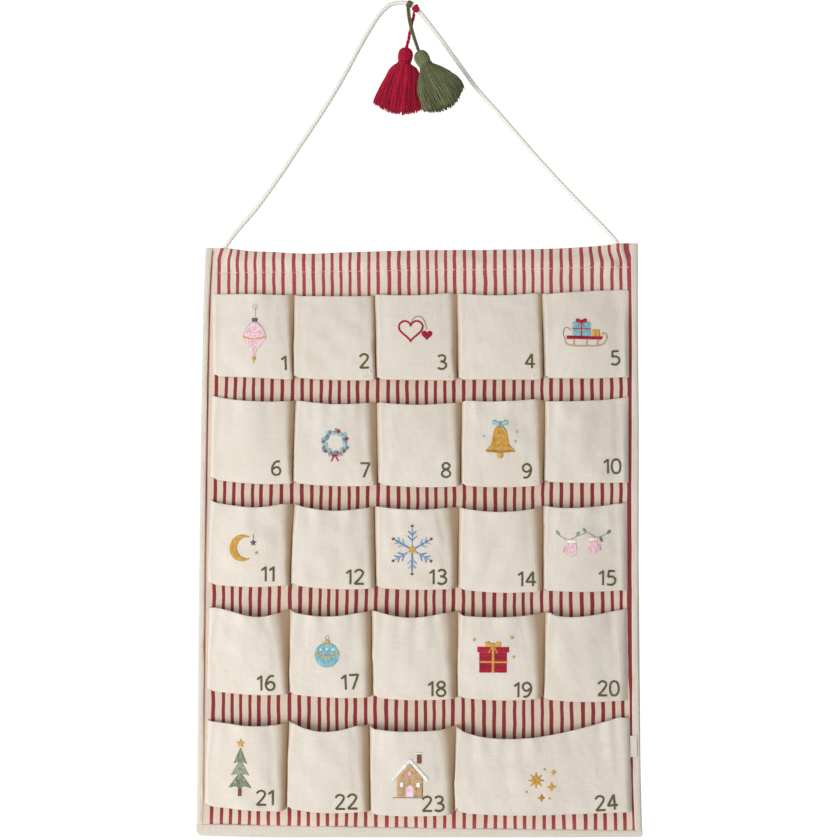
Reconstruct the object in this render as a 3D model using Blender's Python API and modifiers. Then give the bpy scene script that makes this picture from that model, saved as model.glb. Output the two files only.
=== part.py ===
"""Hanging fabric advent calendar: a striped canvas panel with 24 pockets, a rod casing along its
top, a carrying cord and two yarn tassels.

The origin is the point of the wall hook under the cord's highest bend. +X is the viewer's right,
+Z is up and the front of the calendar faces -Y. All sizes are in metres.
"""

import math

import bmesh
import bpy
from mathutils import Matrix, Vector

# Gap that touching pieces keep, and how far a cutter runs past the cloth
SEAT_GAP = 0.0003
CUTTER_OVERRUN = 0.003

# Panel
PANEL_WIDTH = 0.4584
PANEL_HEIGHT = 0.612
PANEL_CENTRE_X = 0.0234
CORD_DROP = 0.2667
CLOTH_THICKNESS = 0.0010
BINDING_LEG = 0.0065
BINDING_THICKNESS = 0.0008

# Rod casing, made by folding the striped cloth over the rod to the back
CASING_HEIGHT = 0.026
CASING_HEM = 0.0015
CASING_TAPER = 0.0195
ROD_DIAMETER = 0.008
ROD_CENTRE_DROP = 0.017
ROD_CHAMFER = 0.0008
ROD_END_ROOM = 0.0015

# Carrying cord
CORD_DIAMETER = 0.0042
CORD_INSET = 0.020
CORD_TAIL_LENGTH = 0.0195
CORD_POINT_STEP = 0.0090
CORD_ROUTE = (
    (-0.1769, -0.2543),
    (-0.1400, -0.1974),
    (-0.0928, -0.1235),
    (-0.0663, -0.0824),
    (-0.0451, -0.0497),
    (-0.0344, -0.0293),
    (-0.0259, -0.0128),
    (-0.0184, -0.0028),
    (-0.0109, 0.0014),
    (0.0000, 0.0024),
    (0.0076, 0.0013),
    (0.0141, -0.0018),
    (0.0207, -0.0071),
    (0.0294, -0.0183),
    (0.0457, -0.0394),
    (0.0740, -0.0788),
    (0.1225, -0.1370),
    (0.1707, -0.1930),
    (0.2181, -0.2465),
    (0.2266, -0.2552),
)

# Pocket grid, in rows and columns; the last pocket takes two places
ROWS = 5
COLUMNS = 5
GRID_SHIFT_X = -0.0036
POCKET_MARGIN = 0.0117
POCKET_PITCH_Z = 0.1120
FIRST_MOUTH_DROP = 0.0510
POCKET_HEIGHT = 0.0875
POCKET_DEPTH = 0.0140
POCKET_CLOTH = 0.0009
POCKET_CORNER = 0.0090
MOUTH_PEAK = 0.0012
MOUTH_DIP = 0.0060
MOUTH_FORWARD = 0.0018

# How deep each row's mouths hang between their dividers, from the top row down
ROW_DIP_shares = (0.50, 0.50, 0.85, 1.00, 0.85)
# Half of a pocket's section: place across the half width, and depth
SECTION_shares = ((1.0, 0.0), (0.955, 0.0), (0.925, 0.52), (0.87, 0.80), (0.70, 0.95), (0.35, 1.0))
# A pocket's side view: height, and depth
PROFILE_shares = ((0.0, 0.0), (0.022, 0.0), (0.05, 0.50), (0.13, 0.82), (0.36, 0.96), (0.72, 1.0), (1.0, 0.93))
# Half of the casing's section: drop from the top edge, and bulge
CASING_shares = ((1.0, 0.0), (0.93, 0.34), (0.84, 0.80), (0.74, 1.0), (0.28, 1.0), (0.12, 0.86), (0.03, 0.50))
# Columns of the striped cloth inside the casing's taper
TAPER_shares = (0.0, 0.2, 0.4, 0.6, 0.8, 1.0)

# Blank label sewn in at the right binding
LABEL_WIDTH = 0.0070
LABEL_HEIGHT = 0.0215
LABEL_THICKNESS = 0.0006
LABEL_DROP = 0.5100
LABEL_OVERLAP = 0.0012

# Tassels: both have the same head, neck and skirt; they differ in place and lean
HEAD_RADIUS = 0.0079
HEAD_LENGTH = 0.0165
NECK_RADIUS = 0.0066
SKIRT_LENGTH = 0.0550
SKIRT_SIDE_LENGTH = 0.0470
SKIRT_HALF_WIDTH = 0.0262
SKIRT_HALF_DEPTH = 0.0074
SKIRT_FLUTES = 12
SKIRT_FLUTE_DEPTH = 0.0007
WRAP_TURNS = 3
WRAP_THREAD = 0.0012
# Yarn bundle from the top down: place along the head, and radius
HEAD_shares = ((0.04, 0.34), (0.12, 0.66), (0.26, 0.90), (0.48, 1.0), (0.70, 0.97), (0.86, 0.90))
# Skirt from the neck down: place along the skirt, and how far it has spread
SKIRT_shares = ((0.06, 0.06), (0.22, 0.26), (0.45, 0.52), (0.72, 0.79), (0.97, 1.0))

STRING_DIAMETER = 0.0024
RED_PIVOT = (0.0130, -0.0033, -0.0113)
RED_STRING_LENGTH = 0.0382
RED_LEAN = math.radians(-11.5)
RED_SKIRT_LEAN = math.radians(-8.0)
RED_KNOT_CENTRE = (0.0154, -0.0048, -0.0062)
RED_KNOT_RADII = (0.0035, 0.0033, 0.0047)
RED_LOOP_X = 0.0150
GREEN_HITCH_X = 0.0085
HITCH_TURNS = 3
HITCH_ROOM = 0.0006
GREEN_PIVOT_DROP = 0.0030
GREEN_STRING_RUN = (0.0097, -0.0161, -0.0556)
GREEN_SKIRT_LEAN = math.radians(30.0)

COLOURS = {
    "canvas_cream": (0.80, 0.73, 0.62, 1.0),
    "canvas_striped": (0.72, 0.52, 0.46, 1.0),
    "binding_cream": (0.82, 0.75, 0.65, 1.0),
    "lining_cream": (0.74, 0.67, 0.56, 1.0),
    "cord_cotton": (0.80, 0.72, 0.60, 1.0),
    "yarn_red": (0.45, 0.008, 0.03, 1.0),
    "yarn_green": (0.16, 0.19, 0.08, 1.0),
    "wood_pale": (0.62, 0.44, 0.25, 1.0),
    "label_white": (0.84, 0.81, 0.75, 1.0),
}
ROUGHNESS = 0.9
ROD_ROUGHNESS = 0.6

# Counts of faces and points
CURVE_STEPS = 16
BALL_DEGREES = (30, 55, 75)
FOLD_STEPS = 4
THREAD_STEPS = 4
RED_STRING_STEPS = 4
GREEN_STRING_STEPS = 5
CORD_BEVEL_STEPS = 2
ROUND_STEPS = 20
ROD_STEPS = 16
BUNDLE_POINTS = 48
KNOT_SEGMENTS = 14
KNOT_RINGS = 8

PANEL_TOP = -CORD_DROP
PANEL_BOTTOM = PANEL_TOP - PANEL_HEIGHT
HALF_WIDTH = PANEL_WIDTH / 2
CLOTH_EDGE = BINDING_THICKNESS + SEAT_GAP
LAYER_OFFSET = (CLOTH_THICKNESS + SEAT_GAP) / 2
FRONT_FACE = -(LAYER_OFFSET + CLOTH_THICKNESS / 2)
BINDING_FACE = FRONT_FACE - SEAT_GAP - BINDING_THICKNESS
CORD_RADIUS = CORD_DIAMETER / 2
STRING_RADIUS = STRING_DIAMETER / 2
TILT_AXIS_Z = PANEL_TOP + SEAT_GAP + CORD_RADIUS
ROD_BULGE = ROD_DIAMETER / 2
TAPER_START = BINDING_LEG + CLOTH_EDGE
POCKET_PITCH_X = (PANEL_WIDTH - 2 * POCKET_MARGIN) / COLUMNS
NECK_LENGTH = WRAP_TURNS * WRAP_THREAD + 2 * SEAT_GAP


def clear_scene():
    """Removes whatever the file holds."""
    for obj in list(bpy.data.objects):
        bpy.data.objects.remove(obj, do_unlink=True)


def new_collection(name, hidden=False):
    """Adds a collection to the scene."""
    collection = bpy.data.collections.new(name)
    collection.hide_render = hidden
    bpy.context.scene.collection.children.link(collection)
    return collection


def material(name, roughness=ROUGHNESS):
    """The named plain material, made once."""
    found = bpy.data.materials.get(name)
    if found:
        return found
    made = bpy.data.materials.new(name)
    made.use_nodes = True
    shader = made.node_tree.nodes["Principled BSDF"]
    shader.inputs["Base Color"].default_value = COLOURS[name]
    shader.inputs["Roughness"].default_value = roughness
    shader.inputs["Metallic"].default_value = 0.0
    made.diffuse_color = COLOURS[name]
    return made


def place(name, data, collection, look=None):
    """Makes an object of this mesh or curve and gives it its look."""
    obj = bpy.data.objects.new(name, data)
    collection.objects.link(obj)
    if look:
        data.materials.append(look)
    return obj


def mesh_from(name, bm):
    """Turns a bmesh into a mesh whose faces point out, shaded smooth."""
    bmesh.ops.recalc_face_normals(bm, faces=bm.faces)
    mesh = bpy.data.meshes.new(name)
    bm.to_mesh(mesh)
    bm.free()
    mesh.shade_smooth()
    return mesh


def grid_mesh(name, rows):
    """An open surface through rows of points."""
    bm = bmesh.new()
    made = [[bm.verts.new(point) for point in row] for row in rows]
    for low, high in zip(made, made[1:]):
        for i in range(len(low) - 1):
            bm.faces.new((low[i], low[i + 1], high[i + 1], high[i]))
    mesh = bpy.data.meshes.new(name)
    bm.to_mesh(mesh)
    bm.free()
    mesh.shade_smooth()
    return mesh


def solidify(obj, thickness):
    """Gives an open cloth surface its thickness, half to each side."""
    modifier = obj.modifiers.new("Cloth", "SOLIDIFY")
    modifier.thickness = thickness
    modifier.offset = 0.0
    modifier.use_even_offset = True
    modifier.use_quality_normals = True


def cut(obj, cutter):
    """Cuts one object out of another."""
    modifier = obj.modifiers.new("Cut", "BOOLEAN")
    modifier.operation = "DIFFERENCE"
    modifier.solver = "EXACT"
    modifier.object = cutter


def cylinder_cutter(name, collection, radius, low, high):
    """An upright round cutter between two points."""
    bm = bmesh.new()
    bmesh.ops.create_cone(
        bm,
        cap_ends=True,
        segments=ROUND_STEPS,
        radius1=radius,
        radius2=radius,
        depth=high.z - low.z,
        matrix=Matrix.Translation((low + high) / 2),
    )
    cutter = place(name, mesh_from(name, bm), collection)
    cutter.hide_render = True
    cutter.display_type = "WIRE"
    return cutter


def smooth_points(points, step):
    """Points every step along a smooth curve through the given ones."""
    ends = [2 * points[0] - points[1], *points, 2 * points[-1] - points[-2]]
    dense = []
    for a, b, c, d in zip(ends, ends[1:], ends[2:], ends[3:]):
        for i in range(CURVE_STEPS):
            t = i / CURVE_STEPS
            dense.append(
                (
                    2 * b
                    + (c - a) * t
                    + (2 * a - 5 * b + 4 * c - d) * t**2
                    + (3 * b - a - 3 * c + d) * t**3
                )
                / 2
            )
    dense.append(points[-1])
    run = [0.0]
    for a, b in zip(dense, dense[1:]):
        run.append(run[-1] + (b - a).length)
    count = max(2, round(run[-1] / step))
    read = []
    at = 0
    for i in range(count + 1):
        wanted = run[-1] * i / count
        while at < len(run) - 2 and run[at + 1] < wanted:
            at += 1
        share = (wanted - run[at]) / (run[at + 1] - run[at])
        read.append(dense[at].lerp(dense[at + 1], share))
    return read


def tube(name, points, radius, collection, look, rounded=()):
    """A round tube along a polyline; rounded lists which of its ends, 0 and -1, are half balls."""
    widths = [1.0] * len(points)
    route = list(points)
    # Places on a half ball: distance past its centre, and width there
    ball = [(math.sin(a), math.cos(a)) for a in map(math.radians, BALL_DEGREES)]
    for end in rounded:
        inner = route[1] if end == 0 else route[-2]
        tip = route[end]
        way = (tip - inner).normalized()
        extra = [tip + way * radius * along for along, _ in ball]
        shares = [width for _, width in ball]
        if end == 0:
            route = extra[::-1] + route
            widths = shares[::-1] + widths
        else:
            route = route + extra
            widths = widths + shares
    curve = bpy.data.curves.new(name, "CURVE")
    curve.dimensions = "3D"
    curve.bevel_depth = radius
    curve.bevel_resolution = CORD_BEVEL_STEPS
    curve.use_fill_caps = True
    spline = curve.splines.new("POLY")
    spline.points.add(len(route) - 1)
    for point, place_at, width in zip(spline.points, route, widths):
        point.co = (*place_at, 1.0)
        point.radius = width
    return place(name, curve, collection, look)


def turned(name, profile, steps, collection, look):
    """A turned body about its own Z axis; the profile runs down its outer side at +X."""
    bm = bmesh.new()
    made = [bm.verts.new((radius, 0.0, height)) for radius, height in profile]
    for a, b in zip(made, made[1:]):
        bm.edges.new((a, b))
    mesh = bpy.data.meshes.new(name)
    bm.to_mesh(mesh)
    bm.free()
    obj = place(name, mesh, collection, look)
    screw = obj.modifiers.new("Turn", "SCREW")
    screw.steps = steps
    screw.render_steps = steps
    screw.use_merge_vertices = True
    screw.merge_threshold = 0.00001
    screw.use_smooth_shade = True
    return obj


def ribbed_ring(name, inner, thread, turns, collection, look):
    """Turns of thread side by side, as one ring about its own Z axis."""
    arc = [math.radians(90 - 180 * i / THREAD_STEPS) for i in range(THREAD_STEPS + 1)]
    thread_radius = thread / 2
    top = turns * thread / 2
    outer = []
    for turn in range(turns):
        centre = top - thread * (turn + 0.5)
        outer += [
            (inner + thread_radius * (1 + math.cos(a)), centre + thread_radius * math.sin(a))
            for a in arc[(turn > 0) :]
        ]
    profile = [(inner, top), *outer, (inner, -top), (inner, top)]
    return turned(name, profile, ROUND_STEPS, collection, look)


def smoothstep(share):
    """Rises from 0 to 1 with level ends."""
    share = min(1.0, max(0.0, share))
    return share * share * (3 - 2 * share)


def casing_bulge(inset):
    """How far the casing's cloth stands off at this distance from the panel's side edge."""
    return ROD_BULGE * smoothstep((inset - TAPER_START) / CASING_TAPER)


def casing_section(inset):
    """The striped cloth's section: up the front, over the rod and down the back."""
    bulge = casing_bulge(inset)
    front = [
        (-(LAYER_OFFSET + share * bulge), PANEL_TOP - drop * CASING_HEIGHT)
        for drop, share in CASING_shares
    ]
    bottom = PANEL_BOTTOM + CLOTH_EDGE
    hem = PANEL_TOP - CASING_HEIGHT - CASING_HEM
    top = PANEL_TOP - CLOTH_THICKNESS / 2
    back = [(-y, z) for y, z in reversed(front)]
    return [(-LAYER_OFFSET, bottom), *front, (0.0, top), *back, (LAYER_OFFSET, hem)]


def make_front_panel(parts, cutters):
    """Striped cloth with the rod casing folded along its top, and two holes for the cord."""
    insets = [CLOTH_EDGE] + [TAPER_START + share * CASING_TAPER for share in TAPER_shares]
    places = [-HALF_WIDTH + inset for inset in insets]
    columns = places + [-x for x in reversed(places)]
    sections = [casing_section(HALF_WIDTH - abs(x)) for x in columns]
    rows = [
        [Vector((PANEL_CENTRE_X + x, *section[i])) for x, section in zip(columns, sections)]
        for i in range(len(sections[0]))
    ]
    panel = place("front_panel", grid_mesh("front_panel", rows), parts, material("canvas_striped"))
    solidify(panel, CLOTH_THICKNESS)
    hole = CORD_RADIUS + SEAT_GAP
    for side, x in cord_exits().items():
        low = Vector((x, 0.0, PANEL_TOP - CUTTER_OVERRUN))
        high = Vector((x, 0.0, PANEL_TOP + CUTTER_OVERRUN))
        cut(panel, cylinder_cutter(f"cord_hole_{side}", cutters, hole, low, high))


def make_back_panel(parts):
    """Plain lining, flat from the casing's hem to the bottom edge."""
    top = PANEL_TOP - CASING_HEIGHT - CASING_HEM - SEAT_GAP
    bottom = PANEL_BOTTOM + CLOTH_EDGE
    half = HALF_WIDTH - CLOTH_EDGE
    rows = [
        [Vector((PANEL_CENTRE_X + x, LAYER_OFFSET, z)) for x in (-half, half)] for z in (bottom, top)
    ]
    panel = place("back_panel", grid_mesh("back_panel", rows), parts, material("lining_cream"))
    solidify(panel, CLOTH_THICKNESS)


def binding_outline():
    """A folded strip's section: legs along -U, fold at U 0, and V across the panel."""
    face = -BINDING_FACE - BINDING_THICKNESS / 2
    fold = [math.radians(90 - 180 * i / FOLD_STEPS) for i in range(FOLD_STEPS + 1)]
    web = -BINDING_THICKNESS / 2
    # The fold is a flattened bend whose depth is the strip's own thickness
    bend = [(web - BINDING_THICKNESS * (1 - math.cos(a)), face * math.sin(a)) for a in fold]
    return [(-BINDING_LEG, face), *bend, (-BINDING_LEG, -face)]


def make_binding(name, parts, start, end, outward):
    """A strip folded round one edge of the panel, between two points, open towards its middle."""
    rows = [
        [point + outward * u + Vector((0.0, v, 0.0)) for u, v in binding_outline()]
        for point in (start, end)
    ]
    strip = place(name, grid_mesh(name, rows), parts, material("binding_cream"))
    solidify(strip, BINDING_THICKNESS)


def make_bindings(parts):
    """Edge bindings at the left, the right and, between them, the bottom."""
    for side, sign in (("left", -1), ("right", 1)):
        x = PANEL_CENTRE_X + sign * HALF_WIDTH
        low = Vector((x, 0.0, PANEL_BOTTOM))
        high = Vector((x, 0.0, PANEL_TOP))
        make_binding(f"binding_{side}", parts, low, high, Vector((sign, 0.0, 0.0)))
    half = HALF_WIDTH - BINDING_LEG - SEAT_GAP
    left = Vector((PANEL_CENTRE_X - half, 0.0, PANEL_BOTTOM))
    right = Vector((PANEL_CENTRE_X + half, 0.0, PANEL_BOTTOM))
    make_binding("binding_bottom", parts, left, right, Vector((0.0, 0.0, -1.0)))


def make_rod(parts):
    """Wooden rod inside the casing, with chamfered ends."""
    radius = ROD_DIAMETER / 2
    half = HALF_WIDTH - TAPER_START - CASING_TAPER - ROD_END_ROOM
    profile = [
        (0.0, half),
        (radius - ROD_CHAMFER, half),
        (radius, half - ROD_CHAMFER),
        (radius, -half + ROD_CHAMFER),
        (radius - ROD_CHAMFER, -half),
        (0.0, -half),
    ]
    rod = turned("hanging_rod", profile, ROD_STEPS, parts, material("wood_pale", ROD_ROUGHNESS))
    rod.rotation_euler = (0.0, math.radians(90), 0.0)
    rod.location = (PANEL_CENTRE_X, 0.0, PANEL_TOP - ROD_CENTRE_DROP)


def cord_exits():
    """Where the cord enters the top seam, on each side."""
    reach = HALF_WIDTH - CORD_INSET
    return {"left": PANEL_CENTRE_X - reach, "right": PANEL_CENTRE_X + reach}


def cord_route():
    """The cord's own points from the left exit over the hook to the right exit."""
    exits = cord_exits()
    between = [Vector((x, 0.0, z)) for x, z in CORD_ROUTE]
    left = Vector((exits["left"], 0.0, TILT_AXIS_Z))
    right = Vector((exits["right"], 0.0, TILT_AXIS_Z))
    return [left, *between, right]


def make_cord(parts):
    """The cord from seam to seam over the hook, and its two ends sewn inside the casing."""
    look = material("cord_cotton")
    points = smooth_points(cord_route(), CORD_POINT_STEP)
    tube("hanging_cord", points, CORD_RADIUS, parts, look, rounded=(0, -1))
    for side, x in cord_exits().items():
        tail = [
            Vector((x, 0.0, PANEL_TOP - CORD_TAIL_LENGTH * share)) for share in (0.0, 0.5, 1.0)
        ]
        tube(f"cord_tail_{side}", tail, CORD_RADIUS, parts, look)
    return points


def mirrored(shares):
    """A half row of shares with its mirror image: across from -1 to 1."""
    return [(-s, d) for s, d in shares] + [(s, d) for s, d in reversed(shares)]


def pocket_half_width(half, height):
    """Half the pocket's width at this height; its lower corners are round."""
    rise = min(height, POCKET_CORNER)
    round_off = POCKET_CORNER - math.sqrt(POCKET_CORNER**2 - (POCKET_CORNER - rise) ** 2)
    return half - round_off


def pocket_rows(centre_x, bottom, half, dip):
    """Rows of points up one pocket's front, from its sewn bottom edge to its mouth."""
    sewn = FRONT_FACE - SEAT_GAP - POCKET_CLOTH / 2
    depth = POCKET_DEPTH - POCKET_CLOTH
    rows = []
    for height_share, depth_share in PROFILE_shares:
        height = height_share * POCKET_HEIGHT
        lift = smoothstep((height_share - 0.5) * 2)
        wide = pocket_half_width(half, height)
        row = []
        for across, rise in mirrored(SECTION_shares):
            hang = MOUTH_DIP * dip * (1 - across**2) * lift
            peak = MOUTH_PEAK * across**8 * lift
            forward = MOUTH_FORWARD * rise * lift * (1 - across**2)
            stand = depth * depth_share * rise + forward
            row.append(
                Vector((centre_x + wide * across, sewn - stand, bottom + height - hang + peak))
            )
        rows.append(row)
    return rows


def pocket_places():
    """Each pocket's number, row, middle and half width, in reading order."""
    centre = PANEL_CENTRE_X + GRID_SHIFT_X
    places = []
    number = 0
    for row in range(ROWS):
        column = 0
        while column < COLUMNS:
            number += 1
            span = 2 if row == ROWS - 1 and column == COLUMNS - 2 else 1
            x = centre + (column + span / 2 - COLUMNS / 2) * POCKET_PITCH_X
            half = (span * POCKET_PITCH_X - SEAT_GAP) / 2
            places.append((number, row, x, half))
            column += span
    return places


def make_pockets(parts):
    """The 24 pockets; the strip of each row is split at the seams between its pockets."""
    for number, row, x, half in pocket_places():
        mouth = PANEL_TOP - FIRST_MOUTH_DROP - row * POCKET_PITCH_Z
        name = f"pocket_{number:02d}"
        rows = pocket_rows(x, mouth - POCKET_HEIGHT, half, ROW_DIP_shares[row])
        pocket = place(name, grid_mesh(name, rows), parts, material("canvas_cream"))
        solidify(pocket, POCKET_CLOTH)


def make_label(parts):
    """Blank woven label, caught under the right binding's inner edge."""
    right = PANEL_CENTRE_X + HALF_WIDTH - BINDING_LEG + LABEL_OVERLAP
    top = PANEL_TOP - LABEL_DROP
    y = BINDING_FACE - SEAT_GAP - LABEL_THICKNESS / 2
    rows = [
        [Vector((x, y, z)) for x in (right - LABEL_WIDTH, right)] for z in (top - LABEL_HEIGHT, top)
    ]
    label = place("side_label", grid_mesh("side_label", rows), parts, material("label_white"))
    solidify(label, LABEL_THICKNESS)


def leaning(angle):
    """A turn in the panel's plane: a hanging piece leans to +X by this angle."""
    return Matrix.Rotation(-angle, 4, "Y")


def bundle_sections():
    """Height, half width, half depth and flute of each ring of a tassel's yarn, from the top down."""
    sections = [
        (-place_share * HEAD_LENGTH, HEAD_RADIUS * wide, HEAD_RADIUS * wide, 0.0)
        for place_share, wide in HEAD_shares
    ]
    neck = -HEAD_LENGTH
    skirt = neck - NECK_LENGTH
    sections += [(z, NECK_RADIUS, NECK_RADIUS, 0.0) for z in (neck, skirt)]
    for along, spread in SKIRT_shares:
        sections.append(
            (
                skirt - along * (SKIRT_SIDE_LENGTH - NECK_LENGTH),
                HEAD_RADIUS + spread * (SKIRT_HALF_WIDTH - HEAD_RADIUS),
                HEAD_RADIUS + spread * (SKIRT_HALF_DEPTH - HEAD_RADIUS),
                along,
            )
        )
    return sections


def bundle_mesh(name):
    """Yarn folded over into a head, tied at the neck and fanned out into a fluted skirt."""
    bm = bmesh.new()
    rings = []
    for height, wide, deep, flute in bundle_sections():
        ring = []
        for i in range(BUNDLE_POINTS):
            angle = 2 * math.pi * i / BUNDLE_POINTS
            out = 1 + flute * SKIRT_FLUTE_DEPTH / deep * math.cos(SKIRT_FLUTES * angle)
            ring.append(bm.verts.new((wide * out * math.cos(angle), deep * out * math.sin(angle), height)))
        rings.append(ring)
    for upper, lower in zip(rings, rings[1:]):
        for i in range(BUNDLE_POINTS):
            j = (i + 1) % BUNDLE_POINTS
            bm.faces.new((upper[i], lower[i], lower[j], upper[j]))
    crown = bm.verts.new((0.0, 0.0, 0.0))
    ends = bm.verts.new((0.0, 0.0, -HEAD_LENGTH - SKIRT_LENGTH))
    for i in range(BUNDLE_POINTS):
        j = (i + 1) % BUNDLE_POINTS
        bm.faces.new((crown, rings[0][i], rings[0][j]))
        bm.faces.new((ends, rings[-1][j], rings[-1][i]))
    return mesh_from(name, bm)


def make_tassel(colour, parts, top, lean):
    """A tassel's yarn and neck wrap, hanging from the point at its crown."""
    look = material(f"yarn_{colour}")
    spot = Matrix.Translation(top) @ leaning(lean)
    yarn = place(f"{colour}_tassel_yarn", bundle_mesh(f"{colour}_tassel_yarn"), parts, look)
    yarn.matrix_world = spot
    inner = NECK_RADIUS + SEAT_GAP
    wrap = ribbed_ring(f"{colour}_neck_wrap", inner, WRAP_THREAD, WRAP_TURNS, parts, look)
    wrap.matrix_world = spot @ Matrix.Translation((0.0, 0.0, -HEAD_LENGTH - NECK_LENGTH / 2))


def make_red_tassel(parts, cutters, cord):
    """Red tassel: a knot on the cord, a string under it, and the tassel."""
    look = material("yarn_red")
    pivot = Vector(RED_PIVOT)
    end = pivot + leaning(RED_LEAN) @ Vector((0.0, 0.0, -RED_STRING_LENGTH))
    points = [pivot.lerp(end, i / RED_STRING_STEPS) for i in range(RED_STRING_STEPS + 1)]
    tube("red_string", points, STRING_RADIUS, parts, look, rounded=(0,))
    drop = leaning(RED_SKIRT_LEAN) @ Vector((0.0, 0.0, -SEAT_GAP))
    make_tassel("red", parts, end + drop, RED_SKIRT_LEAN)
    make_red_knot(parts, cutters, cord, look)


def make_red_knot(parts, cutters, cord, look):
    """The red string's knot: a bulb at the cord's front, joined to its loop round the cord."""
    bm = bmesh.new()
    bmesh.ops.create_uvsphere(bm, u_segments=KNOT_SEGMENTS, v_segments=KNOT_RINGS, radius=1.0)
    bmesh.ops.scale(bm, vec=RED_KNOT_RADII, verts=bm.verts)
    bmesh.ops.translate(bm, vec=RED_KNOT_CENTRE, verts=bm.verts)
    knot = place("red_knot", mesh_from("red_knot", bm), parts, look)
    loop = ring_on_cord("red_loop", cord, RED_LOOP_X, STRING_RADIUS, 1, cutters, look)
    loop.hide_render = True
    loop.display_type = "WIRE"
    modifier = knot.modifiers.new("Loop", "BOOLEAN")
    modifier.operation = "UNION"
    modifier.solver = "EXACT"
    modifier.object = loop


def cord_place(points, x):
    """The point of the cord at this X near the hook, and the cord's direction there."""
    for a, b in zip(points, points[1:]):
        if a.x <= x <= b.x:
            share = (x - a.x) / (b.x - a.x)
            return a.lerp(b, share), (b - a).normalized()
    raise ValueError("no cord at this place")


def ring_on_cord(name, points, x, thread, turns, collection, look):
    """Turns of string round the cord at this X."""
    centre, way = cord_place(points, x)
    ring = ribbed_ring(name, CORD_RADIUS + HITCH_ROOM, thread, turns, collection, look)
    turn = way.to_track_quat("Z", "Y").to_matrix().to_4x4()
    ring.matrix_world = Matrix.Translation(centre) @ turn
    return ring


def make_green_tassel(parts, points):
    """Green tassel: turns round the cord, a string leaning forward and right, and the tassel."""
    look = material("yarn_green")
    # One strand of the doubled string is half its width
    strand = STRING_RADIUS
    ring_on_cord("green_hitch", points, GREEN_HITCH_X, strand, HITCH_TURNS, parts, look)
    centre, _ = cord_place(points, GREEN_HITCH_X)
    reach = CORD_RADIUS + HITCH_ROOM + strand + SEAT_GAP + STRING_RADIUS
    forward = math.sqrt(reach**2 - GREEN_PIVOT_DROP**2)
    pivot = centre + Vector((0.0, -forward, -GREEN_PIVOT_DROP))
    end = pivot + Vector(GREEN_STRING_RUN)
    string = [pivot.lerp(end, i / GREEN_STRING_STEPS) for i in range(GREEN_STRING_STEPS + 1)]
    tube("green_string", string, STRING_RADIUS, parts, look, rounded=(0, -1))
    drop = STRING_RADIUS + SEAT_GAP
    crown = end + leaning(GREEN_SKIRT_LEAN) @ Vector((0.0, 0.0, -drop))
    make_tassel("green", parts, crown, GREEN_SKIRT_LEAN)
    print("green string pivot", tuple(round(v, 5) for v in pivot))
    print("green crown pivot", tuple(round(v, 5) for v in end))


def main():
    """Builds the calendar."""
    clear_scene()
    parts = new_collection("advent_calendar")
    cutters = new_collection("cutters", hidden=True)
    make_front_panel(parts, cutters)
    make_back_panel(parts)
    make_bindings(parts)
    make_rod(parts)
    make_pockets(parts)
    make_label(parts)
    points = make_cord(parts)
    make_red_tassel(parts, cutters, points)
    make_green_tassel(parts, points)


main()
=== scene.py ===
"""Looks for the hanging advent calendar: striped canvas, stitched pockets, embroidery, cord and tassels.

Lengths are in metres unless a name ends in MM or PX. PX values are places in the 840 pixel frame of the
photograph, turned into places on the calendar by at().
"""

import math

import bpy
import numpy as np
from mathutils import Matrix, Vector
from mathutils.bvhtree import BVHTree


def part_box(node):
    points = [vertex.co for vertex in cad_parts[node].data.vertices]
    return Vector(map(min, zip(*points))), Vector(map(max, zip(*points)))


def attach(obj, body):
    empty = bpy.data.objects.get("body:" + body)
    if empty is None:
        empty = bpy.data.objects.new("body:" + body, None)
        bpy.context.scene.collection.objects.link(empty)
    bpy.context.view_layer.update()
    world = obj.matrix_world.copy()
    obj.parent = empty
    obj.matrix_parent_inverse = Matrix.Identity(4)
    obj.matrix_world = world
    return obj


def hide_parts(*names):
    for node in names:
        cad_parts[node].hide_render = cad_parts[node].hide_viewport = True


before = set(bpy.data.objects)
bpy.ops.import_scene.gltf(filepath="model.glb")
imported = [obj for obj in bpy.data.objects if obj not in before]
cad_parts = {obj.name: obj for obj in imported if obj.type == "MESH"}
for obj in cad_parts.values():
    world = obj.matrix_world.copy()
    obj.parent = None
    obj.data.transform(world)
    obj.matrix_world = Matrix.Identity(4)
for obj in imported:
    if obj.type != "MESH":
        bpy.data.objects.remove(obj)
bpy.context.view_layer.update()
MM = 0.001

# Camera of the photograph
CAMERA_PLACE = Vector((0.0222, -1.3752, -0.5753))
CAMERA_PITCH = math.radians(5.15)
CAMERA_ROLL = math.radians(0.34)
FOCAL_PX = 1310.2
FRAME_PX = 840
SENSOR_MM = 36.0

X_AXIS = Vector((1.0, 0.0, 0.0))
CAMERA_AHEAD = Vector((0.0, math.cos(CAMERA_PITCH), math.sin(CAMERA_PITCH)))
LEVEL_UP = X_AXIS.cross(CAMERA_AHEAD)
CAMERA_RIGHT = X_AXIS * math.cos(CAMERA_ROLL) + LEVEL_UP * math.sin(CAMERA_ROLL)
CAMERA_UP = LEVEL_UP * math.cos(CAMERA_ROLL) - X_AXIS * math.sin(CAMERA_ROLL)


def at(u, v, y=0.0):
    """The point of the plane Y = y that the photograph shows at this pixel, as (x, z)."""
    across, up = (u - FRAME_PX / 2) / FOCAL_PX, (FRAME_PX / 2 - v) / FOCAL_PX
    ray = CAMERA_AHEAD + CAMERA_RIGHT * across + CAMERA_UP * up
    point = CAMERA_PLACE + ray * ((y - CAMERA_PLACE.y) / ray.y)
    return point.x, point.z


# The panel's edges, how far its casing's hem lies below the top, and the plane of its flat front
PANEL_LEFT = -0.2058
PANEL_RIGHT = 0.2526
PANEL_TOP = -0.2667
PANEL_BOTTOM = -0.8787
CASING_HEM = 0.0275
FRONT_Y = -0.0011
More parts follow.
